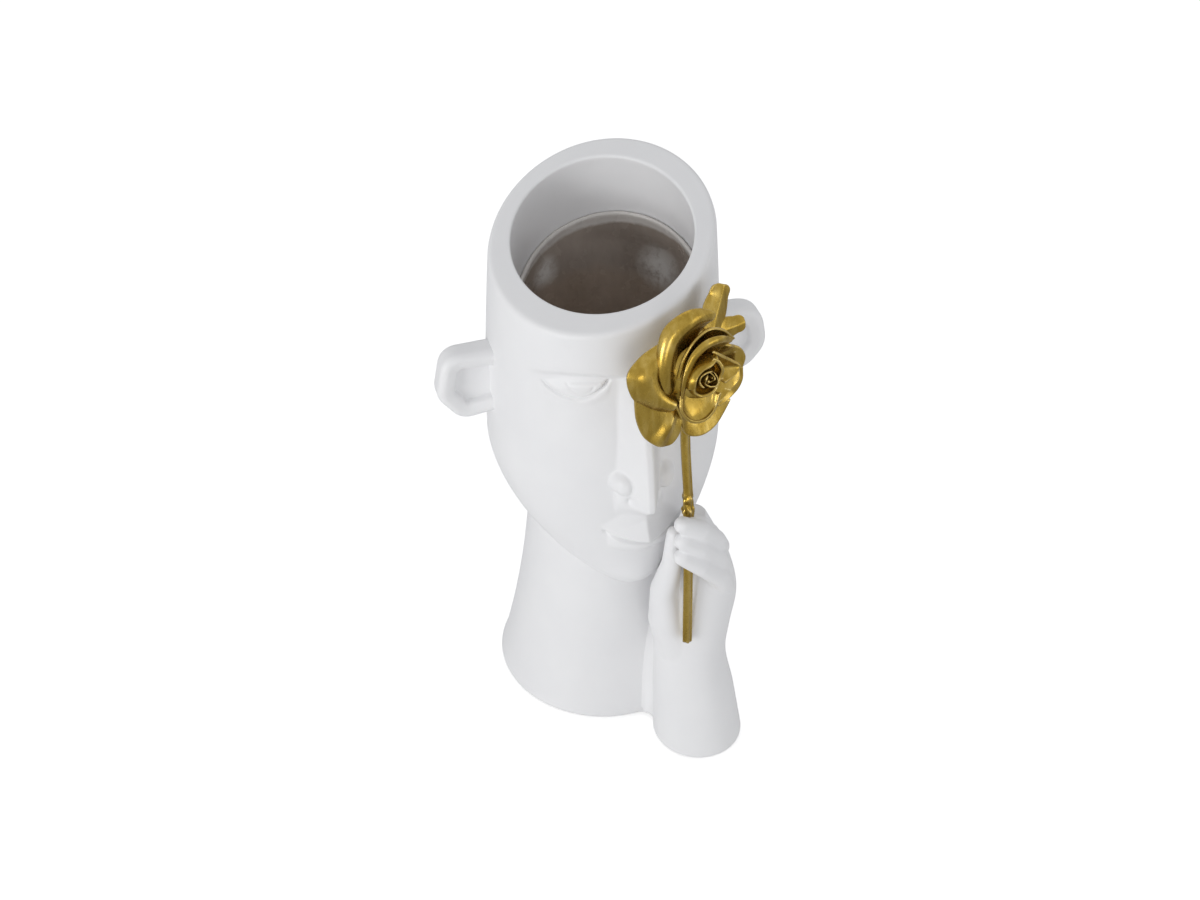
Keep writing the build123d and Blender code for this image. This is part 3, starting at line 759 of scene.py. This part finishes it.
# Joints of the middle finger from its tip to its root, and the way from each to that of the next finger
MIDDLE_FINGER = ((15.0, -99.0, 181.0), (26.0, -96.5, 172.2), (38.0, -88.5, 155.4), (44.2, -80.0, 142.4))
NEXT_FINGER = ((0.0, -0.5, -11.0), (0.1, -0.8, -11.8), (1.4, -1.0, -12.6), (2.3, -1.0, -16.3))
FINGER_RADII = (4.7, 5.7, 6.1, 5.6)
INDEX_FINGER = ((20.5, -93.0, 175.0), (28.0, -90.5, 170.0), (35.5, -84.5, 157.5), (42.5, -79.0, 143.0))
THUMB = ((14.5, -89, 166), (14, -87, 144), (11.5, -83, 121), (14.5, -82, 98), (22, -81, 78))
THUMB_RADII = (4.8, 5.8, 8.2, 11.5, 15.0)
# Height, centre, half width and half depth of each level of the arm
ARM_SECTIONS = (
    (2, 35, -82, 26.5, 26.5),
    (37, 32, -80.5, 23.8, 23.3),
    (72, 29, -79, 21.0, 20.0),
    (90, 30.2, -77, 22.8, 20.0),
    (108, 32, -75, 24.5, 20.0),
    (130, 33, -74.5, 19.5, 16.5),
    (151, 31, -76.5, 13.0, 13.0),
    (172, 28, -81, 6.5, 7.5),
)
WEB_ROUND = 7.0
WEB_TOP = 96.0
# Channel in the palm: its side by the stem, half width, widening, depth and fades, and the little finger's
# underside over it as a height at the stem and a slope
CHANNEL_X = 21.8
CHANNEL_HALF_WIDTH = 1.4
CHANNEL_WIDENING = 2.4
CHANNEL_WIDENS = (100.0, 142.0)
CHANNEL_DEPTH = 8.0
CHANNEL_LOW_FADE = (95.0, 112.0)
PALM_FADE = (-84.0, -90.0)
UNDERSIDE_X = 22.0
UNDERSIDE_HEIGHT = 141.0
UNDERSIDE_SLOPE = 1.2


def arm_rings():
    """Smooth stack of ellipses up the forearm to the fist, with its foot's edge rounded."""
    foot, top = ARM_SECTIONS[0][0], ARM_SECTIONS[-1][0]
    levels = np.concatenate([[foot, foot], np.linspace(foot + 1.5, top, 90)])
    turns = full_turn(90)
    sections = smooth_curve(ARM_SECTIONS, levels)
    sections[0, 2:] -= 1.5
    sections[1, 2:] -= 0.6
    rings = []
    for level, (x, y, wide, deep) in zip(levels, sections):
        flat = np.full_like(turns, level)
        rings.append(np.stack([x + wide * np.cos(turns), y + deep * np.sin(turns), flat], axis=-1))
    return np.array(rings)


def web_rings():
    """Fillet that fills the crease between the forearm and the neck, up to where their gap is too wide."""
    size = WEB_ROUND
    rings = []
    for level in np.linspace(PAD_THICKNESS + 0.5, WEB_TOP, 60):
        x, y, wide, deep = smooth_curve(ARM_SECTIONS, np.array([level]))[0]
        arm, neck = np.array([x, y]), np.zeros(2)
        arm_radius, neck_size = (wide + deep) / 2 - 0.3, neck_radius(level) - 0.3
        apart = np.linalg.norm(arm)
        reach = (apart**2 + (neck_size + size) ** 2 - (arm_radius + size) ** 2) / (2 * apart)
        if neck_size + size < reach * 1.005:
            break
        off = math.sqrt((neck_size + size) ** 2 - reach**2)
        way = arm / apart
        centre = way * reach + np.array([way[1], -way[0]]) * off
        to_neck = math.atan2(*(neck - centre)[::-1])
        to_arm = math.atan2(*(arm - centre)[::-1])
        sweep = (to_arm - to_neck + math.pi) % (2 * math.pi) - math.pi
        turns = to_neck + sweep * np.linspace(0, 1, 14)
        arc = centre + size * np.stack([np.cos(turns), np.sin(turns)], axis=-1)
        plan = np.vstack([arc, arm - way * arm_radius * 0.8, way * (neck_size - 3)])
        rings.append(np.column_stack([plan, np.full(len(plan), level)]))
    return np.array(rings)


def make_forearm_hand():
    """Forearm, palm, thumb and fingers grown together into one skin."""
    fingers = [np.array(MIDDLE_FINGER) + index * np.array(NEXT_FINGER) for index in range(3)]
    limbs = [(joints, FINGER_RADII) for joints in (*fingers, INDEX_FINGER)] + [(THUMB, THUMB_RADII)]
    skins = [arm_rings(), web_rings()]
    for joints, radii in limbs:
        for bone in range(len(joints) - 1):
            skins.append(bone_rings(joints[bone], radii[bone], joints[bone + 1], radii[bone + 1]))
    points, faces = [], []
    for rings in skins:
        more_points, more_faces = ring_mesh(rings, len(points))
        points += more_points
        faces += more_faces
    piece = add_piece("forearm_and_hand", points, faces, [WHITE])
    remesh = piece.modifiers.new("skin", "REMESH")
    remesh.mode = "VOXEL"
    remesh.voxel_size = SKIN_VOXEL * MM
    remesh.use_smooth_shade = True
    apply_modifiers(piece)
    carve_palm(piece.data)
    relax = piece.modifiers.new("relax", "SMOOTH")
    relax.factor = 0.5
    relax.iterations = SKIN_RELAX
    apply_modifiers(piece)
    hold(piece, "forearm_hand")


def carve_palm(mesh):
    """Channel in the palm beside the stem, widest under the little finger."""
    points = np.empty(len(mesh.vertices) * 3)
    mesh.vertices.foreach_get("co", points)
    points = points.reshape(-1, 3) / MM
    x, y, z = points.T
    wide = CHANNEL_HALF_WIDTH + CHANNEL_WIDENING * smooth_step(*CHANNEL_WIDENS, z)
    across = smooth_step(wide, wide * 0.55, np.abs(x - (CHANNEL_X + 0.7 * wide)))
    underside = UNDERSIDE_HEIGHT - UNDERSIDE_SLOPE * (x - UNDERSIDE_X)
    depth = CHANNEL_DEPTH * across * smooth_step(*CHANNEL_LOW_FADE, z)
    depth = depth * smooth_step(underside + 2, underside - 4, z) * smooth_step(*PALM_FADE, y)
    points[:, 1] += depth
    mesh.vertices.foreach_set("co", (points * MM).ravel())
    mesh.update()


def apply_modifiers(piece):
    """Turns the modifiers' result into the piece's own mesh."""
    graph = bpy.context.evaluated_depsgraph_get()
    mesh = bpy.data.meshes.new_from_object(piece.evaluated_get(graph))
    piece.modifiers.clear()
    piece.data = mesh
    mesh.shade_smooth()


# Rose: its own frame, with Z out of the heart and Y up
BLOOM_ORIGIN = np.array([22.5, -80.0, 267.5])
BLOOM_TURN = math.radians(17.0)
BLOOM_LIFT = math.radians(16.0)
BLOOM_OUT = np.array(
    [
        math.sin(BLOOM_TURN) * math.cos(BLOOM_LIFT),
        -math.cos(BLOOM_TURN) * math.cos(BLOOM_LIFT),
        math.sin(BLOOM_LIFT),
    ]
)
BLOOM_RIGHT = np.array([math.cos(BLOOM_TURN), math.sin(BLOOM_TURN), 0.0])
BLOOM_UP = np.cross(BLOOM_OUT, BLOOM_RIGHT)
PETAL_THICKNESS = 1.7
PETAL_RIPPLE = 0.35
FOLD_HALF_WIDTH = 0.12


def bloom_points(local):
    """From the rose's own frame to the frame of the vase."""
    local = np.asarray(local, dtype=float)
    right, up, out = local[..., :1], local[..., 1:2], local[..., 2:]
    return BLOOM_ORIGIN + right * BLOOM_RIGHT + up * BLOOM_UP + out * BLOOM_OUT


def petal_sheet(
    lip, base, belly, crown, share=0.8, floor=2.0, puff=0.0, roll=0.0, roll_radius=3.0, fold=None
):
    """Sheet of one petal from its base ring to its lip, which may roll over outwards.

    The base ring has a radius and a level, floor, and takes up a share of the lip's angle. belly is how
    far out the sheet's middle lies, puff adds to that, crown is the level it aims at there, roll is in
    degrees, and fold is the place across the petal, from 0 to 1, and the height of a sharp crease.
    """
    columns, rows = 37, 17
    edge = curve_through(lip, columns)
    angle = np.unwrap(np.arctan2(edge[:, 1], edge[:, 0]))
    radius = np.hypot(edge[:, 0], edge[:, 1])
    middle = angle.mean()
    foot_angle = middle + (angle - middle) * share
    foot = round_points(foot_angle, np.minimum(base, radius * 0.9 + puff), floor)
    knee_angle = middle + (angle - middle) * (1 + share) / 2
    knee = round_points(knee_angle, base + (radius - base) * belly + puff, crown)
    place = np.linspace(0, 1, columns)
    lines = []
    for along in np.linspace(0, 1, rows):
        line = (1 - along) ** 2 * foot + 2 * along * (1 - along) * knee + along**2 * edge
        line[:, 2] += PETAL_RIPPLE * np.sin(place * 11 + middle * 3) * along**3
        if fold:
            crease = np.clip(1 - np.abs(place - fold[0]) / FOLD_HALF_WIDTH, 0, 1)
            line[:, 2] += fold[1] * crease * min(1, along * 1.6)
        lines.append(line)
    if roll:
        forward = edge - knee
        forward /= np.linalg.norm(forward, axis=1, keepdims=True)
        outward = round_points(angle, 1.0, 0.0)
        outward -= forward * np.sum(outward * forward, axis=1, keepdims=True)
        outward /= np.linalg.norm(outward, axis=1, keepdims=True)
        taper = (0.35 + 0.65 * np.sin(np.pi * place) ** 0.6)[:, None]
        for step in np.linspace(0, 1, 12)[1:]:
            bend = step * math.radians(roll) * taper
            curl = forward * np.sin(bend) + outward * (1 - np.cos(bend))
            lines.append(lines[rows - 1] + roll_radius * (0.45 + 0.55 * taper) * curl)
    return np.array(lines)


def sheets_piece(name, sheets, thickness):
    """Several curved sheets, thickened and rounded at their edges."""
    points, faces = [], []
    for sheet in sheets:
        faces += grid_faces(*sheet.shape[:2], len(points), False)
        points += bloom_points(sheet).reshape(-1, 3).tolist()
    piece = add_piece(name, points, faces, [GOLD])
    thick = piece.modifiers.new("thickness", "SOLIDIFY")
    thick.thickness = thickness * MM
    thick.offset = 0
    rounding = piece.modifiers.new("rounding", "SUBSURF")
    rounding.levels = 1
    rounding.render_levels = 1
    apply_modifiers(piece)
    return piece


# Lip of each petal in the rose's own frame, then its base radius and shape
OUTER_PETALS = (
    dict(
        lip=((-16.5, -3, 8), (-17, 11.5, 12), (-12, 24.5, 14), (-4, 29, 15), (9.5, 28, 13)),
        base=13, belly=0.75, crown=9, share=0.6, floor=4, roll=165, roll_radius=4.8,
    ),
    dict(
        lip=((-18.5, 22.5, 6), (-29.5, 19, 6), (-38, 12, 5), (-37, 0.5, 4), (-29, -9, 4), (-19, -14, 6)),
        base=15, belly=0.6, crown=17, share=0.75, roll=35, roll_radius=2.5,
    ),
    dict(
        lip=(
            (-36.5, -2, 3), (-36.5, -14.5, 1), (-32.5, -26.5, 1),
            (-25.5, -33, 1), (-19, -34, 2), (-14, -29, 4),
        ),
        base=15, belly=0.5, crown=7, share=0.75, fold=(0.66, 2.2),
    ),
    dict(
        lip=(
            (-17, -6, 7), (-13, -20, 6), (-10, -31.5, 4), (-2, -35, 4),
            (8, -33, 4), (15.5, -27, 4), (20, -22, 4),
        ),
        base=13, belly=0.7, crown=4,
    ),
    dict(
        lip=((28.5, -5.5, 7), (27.5, -12.5, 6), (23.5, -18.5, 5), (18.5, -21, 5), (11, -23, 5)),
        base=14, belly=0.6, crown=4,
    ),
    dict(
        lip=((9.5, 15, 13), (19, 11, 12), (27, 5, 10), (29, -0.5, 9), (27, -5.5, 8)),
        base=14, belly=0.5, crown=9, fold=(0.3, 1.2),
    ),
)
MIDDLE_PETALS = (
    dict(
        lip=((-14.5, 2.5, 11), (-10, 14, 13), (-3.5, 21.5, 15), (5, 25, 16), (13.5, 22, 14), (23, 13, 11)),
        base=11, belly=0.7, crown=10, share=0.9, floor=8,
    ),
    dict(
        lip=(
            (-13, -7, 11), (-12, 0.5, 13), (-9.5, 7, 15), (-6, 13, 17),
            (0, 17, 18), (8, 17, 17), (18, 13.5, 14),
        ),
        base=10, belly=0.7, crown=11, share=0.9, floor=9, roll=140, roll_radius=2.3,
    ),
    dict(
        lip=((25, -3.5, 9), (23.5, -10.5, 9), (17, -16, 8), (8, -19.5, 9)),
        base=11, belly=0.7, crown=6, floor=4,
    ),
    dict(
        lip=(
            (4.5, 13.5, 17), (11.5, 8, 16), (19, 2, 14),
            (22.5, -1.5, 13), (19, -5.5, 13), (11.5, -7.5, 14),
        ),
        base=8, belly=0.6, crown=10, floor=8,
    ),
    dict(
        lip=(
            (-13.5, -5, 11), (-15.5, -13.5, 12), (-9, -22.5, 12),
            (-2, -23.5, 12), (4, -20.5, 12), (9, -12, 13),
        ),
        base=9, belly=0.95, crown=8, floor=8,
    ),
)
INNER_PETALS = (
    dict(
        lip=((-9.5, -2, 18), (-8.7, 3, 20), (-4.5, 6.8, 21), (1.5, 8.2, 21), (5.5, 9.5, 20)),
        base=9, belly=1.0, crown=16, share=0.95, floor=9, puff=4.5,
    ),
    dict(
        lip=((2, 10.5, 20), (5.5, 7.5, 20.5), (6.8, 3, 20), (4.8, -2.5, 18.5)),
        base=9, belly=1.0, crown=15, share=0.95, floor=9, puff=3,
    ),
    dict(
        lip=((-9.5, 0, 18), (-8.5, -4.5, 17), (-4.5, -7.5, 17), (1.5, -7, 17.5), (5.5, -3, 18)),
        base=8, belly=1.0, crown=14, share=0.95, floor=9, puff=2,
    ),
)


def make_petals():
    for name, node, petals in (
        ("petals_outer", "outer_petals", OUTER_PETALS),
        ("petals_middle", "middle_petals", MIDDLE_PETALS),
        ("petals_inner", "inner_petals", INNER_PETALS),
    ):
        piece = sheets_piece(name, [petal_sheet(**petal) for petal in petals], PETAL_THICKNESS)
        hold(piece, node)


BUD_TURNS = 2.6
BUD_CENTRE = (-1.0, 1.0)
BUD_RADIUS = 7.0
BUD_HEART_RADIUS = 0.8
BUD_CREST = 19.5
BUD_CREST_RISE = 0.8
BUD_WAVE = 1.3
BUD_THICKNESS = 0.9


def make_bud():
    """Rolled heart of the rose: one sheet wound inwards, lower towards its middle, with a wavy edge."""
    turn = np.linspace(0, BUD_TURNS * 2 * math.pi, 130)[None, :]
    share = turn / turn.max()
    along = np.linspace(0, 1, 14)[:, None]
    radius = BUD_HEART_RADIUS + (BUD_RADIUS - BUD_HEART_RADIUS) * share
    radius = radius * (1 - 0.25 * along**3) * (1 + 0.13 * np.sin(1.7 * turn + 0.6))
    crest = BUD_CREST + BUD_CREST_RISE * share + BUD_WAVE * np.sin(2.3 * turn)
    x, y = BUD_CENTRE[0] + radius * np.cos(turn), BUD_CENTRE[1] + radius * np.sin(turn)
    sheet = np.stack([x, y, 0.5 + crest * along], axis=-1)
    hold(sheets_piece("bud", [sheet], BUD_THICKNESS), "rose_bud")


LEAVES = (
    dict(start=(16.0, 14.0, 0.0), end=(27.5, 38.5, 0.0), half_width=8.0, end_half_width=5.8, fold=2.8),
    dict(start=(15.0, 13.0, -1.0), end=(38.0, 14.0, -0.5), half_width=6.6, end_half_width=4.6, fold=2.2),
)


def leaf_sheet(start, end, half_width, end_half_width, fold):
    """Blunt leaf from its root to its end, with a folded midrib."""
    start, end = np.array(start, dtype=float), np.array(end, dtype=float)
    axis = end - start
    side_way = np.array([-axis[1], axis[0], 0.0]) / np.linalg.norm(axis)
    along = np.linspace(0, 1, 26)[:, None, None]
    side = np.linspace(-1, 1, 15)[None, :, None]
    body = half_width * 0.7 + (half_width * 0.3) * np.sin(np.pi * np.clip(along * 1.3, 0, 1))
    body = body + (end_half_width - half_width * 0.7) * smooth_step(0.55, 0.95, along)
    width = body * np.sqrt(np.clip(1 - np.clip((along - 0.86) / 0.15, 0, 1) ** 2.4, 0, 1))
    droop = -fold * np.abs(side) * np.sin(np.pi * np.clip(along * 0.9, 0, 1))
    level = droop + 0.6 * np.sin(6 * along) * side
    out = start + axis * along + side_way * (width * side)
    return out + np.array([0.0, 0.0, 1.0]) * level


def make_leaves():
    sheets = [leaf_sheet(**leaf) for leaf in LEAVES]
    hold(sheets_piece("leaves", sheets, PETAL_THICKNESS), "rose_leaves")


# Radius and level of the calyx, from its shank over its rim to the dome under the petals
CALYX_PROFILE = (
    (9.0, -26.0), (9.0, -20.0), (9.3, -14.0), (11.0, -10.5), (16.0, -6.5), (21.0, -3.0), (23.5, -0.8),
    (20.0, 2.0), (16.0, 6.0), (12.0, 9.5), (8.0, 11.5), (3.0, 12.5),
)


def make_calyx():
    """Cup behind the petals, domed under them, and the shank that carries it on the brow."""
    turns = full_turn(64)
    rings = []
    for radius, level in CALYX_PROFILE:
        wavy = radius * (1 + 0.03 * np.cos(5 * turns))
        rings.append(bloom_points(round_points(turns, wavy, level)))
    hold(ring_piece("calyx", rings, GOLD), "rose_calyx")


STEM_PATH = (
    (20.5, -98, 93), (20.7, -94.3, 143), (21.4, -89.5, 182),
    (20.9, -82, 222), (20.8, -79.5, 245), (21.5, -74, 263),
)
STEM_RADIUS = 2.5
STEM_RIDGE = 0.3
# Height, half height and size of each ragged swelling where the stem enters the fist
STEM_COLLARS = ((182.0, 3.4, 1.0), (189.5, 2.0, 0.8))


def make_stem():
    """Stem with lengthwise ridges and a ragged collar where it enters the fist."""
    line = curve_through(STEM_PATH, 170)
    turns = full_turn(36)
    rings = []
    for point, step in zip(line, np.gradient(line, axis=0)):
        axis = step / np.linalg.norm(step)
        height = point[2]
        collar = sum(size * hill(height, level, half) for level, half, size in STEM_COLLARS)
        places = [Vector((math.cos(turn) * 1.6, math.sin(turn) * 1.6, height * 0.45)) for turn in turns]
        rough = np.array([noise.noise(place) for place in places])
        radius = STEM_RADIUS + STEM_RIDGE * np.cos(5 * turns + height * 0.01)
        radius = radius + collar * (0.7 + 0.5 * np.cos(turns) + 1.6 * rough)
        rings.append(point + radius[:, None] * circle_round(axis, -turns))
    hold(ring_piece("stem", rings, GOLD), "rose_stem")


# Liner
BEAD_WIDTH = 2.9
BEAD_HEIGHT = 2.0
LINER_BACK_LIFT = 3.0


def make_liner():
    """Cup that fills the cavity up to an uneven bead, a little higher at the back than the rim's slant."""
    turns = full_turn(240)
    uneven = np.array([noise.noise(Vector((math.cos(t) * 5, math.sin(t) * 5, 3.0))) for t in turns])
    outside, inside = RIM_WALL + 0.05, RIM_WALL + LINER_WALL
    edge = slanted_height_at(cavity_wall, turns, outside, LINER_EDGE_DROP) - 0.6 + 0.9 * uneven
    edge = edge + LINER_BACK_LIFT * smooth_step(-0.2, 1.0, np.sin(turns))
    rings = cup_rings(turns, edge - 2.5, outside, CAVITY_FLOOR + 0.05, CAVITY_FLOOR_ROUND)[::-1]
    bead = BEAD_WIDTH + 0.7 * uneven
    for bend in np.linspace(0, math.pi, 11):
        rise = BEAD_HEIGHT * math.sin(bend) - BEAD_HEIGHT
        inset = outside + bead * (1 - math.cos(bend)) / 2
        rings.append(wall_points(cavity_wall, turns, edge + rise, inset))
    top = edge - 3.8
    rings.append(wall_points(cavity_wall, turns, top, inside))
    rings += cup_rings(turns, top, inside, CAVITY_FLOOR + LINER_FLOOR, CAVITY_FLOOR_ROUND - LINER_WALL)
    hold(ring_piece("liner", rings, RESIN), "cavity_liner")


def dress_nodes():
    """Finishes of the pieces that are shown as they come in the frame."""
    for node, material in (("base_plate", RESIN), ("base_pads", FELT)):
        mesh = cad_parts[node].data
        mesh.materials.clear()
        mesh.materials.append(material)


# Stage, light and camera
FLOOR_HALF_SIZE = 4000.0
FLOOR_GLOW = 0.55
WORLD_STRENGTH = 0.5
# Name, place in metres, power in watts and size in metres
LAMPS = (
    ("key", (-1.75, -0.85, 0.48), 12.0, 0.7),
    ("front", (-0.35, -1.9, 0.62), 4.0, 0.5),
    ("fill", (1.4, -1.0, 0.4), 3.2, 0.7),
    ("top", (0.1, 1.0, 1.6), 1.8, 1.0),
)
LAMP_TARGET = (0, 0, 0.2)


def make_stage():
    """Pale floor that also glows a little for the camera alone, so that it meets the white background."""
    corners = np.array([(-1, -1, 0), (1, -1, 0), (1, 1, 0), (-1, 1, 0)]) * FLOOR_HALF_SIZE
    floor = add_piece("floor", corners, [(0, 1, 2, 3)], [])
    material, tree, shader = new_material("floor")
    tree.links.new(vary(tree, add_noise(tree, 30), grey(0.84), grey(0.86)), shader.inputs["Base Color"])
    shader.inputs["Roughness"].default_value = 0.9
    shader.inputs["Emission Color"].default_value = (1, 1, 1, 1)
    glow = add_node(tree, "ShaderNodeMath", operation="MULTIPLY")
    glow.inputs[1].default_value = FLOOR_GLOW
    tree.links.new(tree.nodes.new("ShaderNodeLightPath").outputs["Is Camera Ray"], glow.inputs[0])
    tree.links.new(glow.outputs[0], shader.inputs["Emission Strength"])
    floor.data.materials.append(material)


def make_world():
    """Soft even light, seen as plain white by the camera and in reflections."""
    world = bpy.data.worlds.new("studio")
    bpy.context.scene.world = world
    world.use_nodes = True
    tree = world.node_tree
    soft = tree.nodes["Background"]
    soft.inputs["Color"].default_value = (0.97, 0.98, 1.0, 1)
    soft.inputs["Strength"].default_value = WORLD_STRENGTH
    white = add_node(tree, "ShaderNodeBackground", Color=(1, 1, 1, 1), Strength=1.0)
    path = tree.nodes.new("ShaderNodeLightPath")
    seen = add_node(tree, "ShaderNodeMath", operation="MAXIMUM")
    tree.links.new(path.outputs["Is Camera Ray"], seen.inputs[0])
    tree.links.new(path.outputs["Is Glossy Ray"], seen.inputs[1])
    pick = tree.nodes.new("ShaderNodeMixShader")
    tree.links.new(seen.outputs[0], pick.inputs[0])
    tree.links.new(soft.outputs[0], pick.inputs[1])
    tree.links.new(white.outputs[0], pick.inputs[2])
    tree.links.new(pick.outputs[0], tree.nodes["World Output"].inputs["Surface"])


def aim(name, data, place, target):
    """Object for a lamp or a camera that stands at a place and looks at a target, both in metres."""
    holder = bpy.data.objects.new(name, data)
    holder.location = place
    holder.rotation_euler = (Vector(target) - Vector(place)).to_track_quat("-Z", "Y").to_euler()
    bpy.context.scene.collection.objects.link(holder)
    return holder


def make_light():
    for name, place, power, size in LAMPS:
        lamp = bpy.data.lights.new(name, "AREA")
        lamp.energy = power
        lamp.size = size
        aim(name, lamp, place, LAMP_TARGET)


CAMERA_PLACE = (-0.2146, -0.7338, 0.7733)
CAMERA_TARGET = (0.0, 0.0, 0.2178)
CAMERA_LENS = 50.58
CAMERA_SHIFT = (-0.0025, -0.0683)


def make_camera():
    camera = bpy.data.cameras.new("camera")
    camera.lens = CAMERA_LENS
    camera.sensor_width = 36.0
    camera.shift_x, camera.shift_y = CAMERA_SHIFT
    camera.clip_start = 0.01
    bpy.context.scene.camera = aim("camera", camera, CAMERA_PLACE, CAMERA_TARGET)
    bpy.context.scene.view_settings.view_transform = "Standard"


make_head()
make_neck()
make_ear("ear_left", "left_ear", 1, EAR_LEFT_ROUND)
make_ear("ear_right", "right_ear", -1, EAR_RIGHT_ROUND)
make_forearm_hand()
make_petals()
make_bud()
make_leaves()
make_calyx()
make_stem()
make_liner()
dress_nodes()
make_stage()
make_world()
make_light()
make_camera()
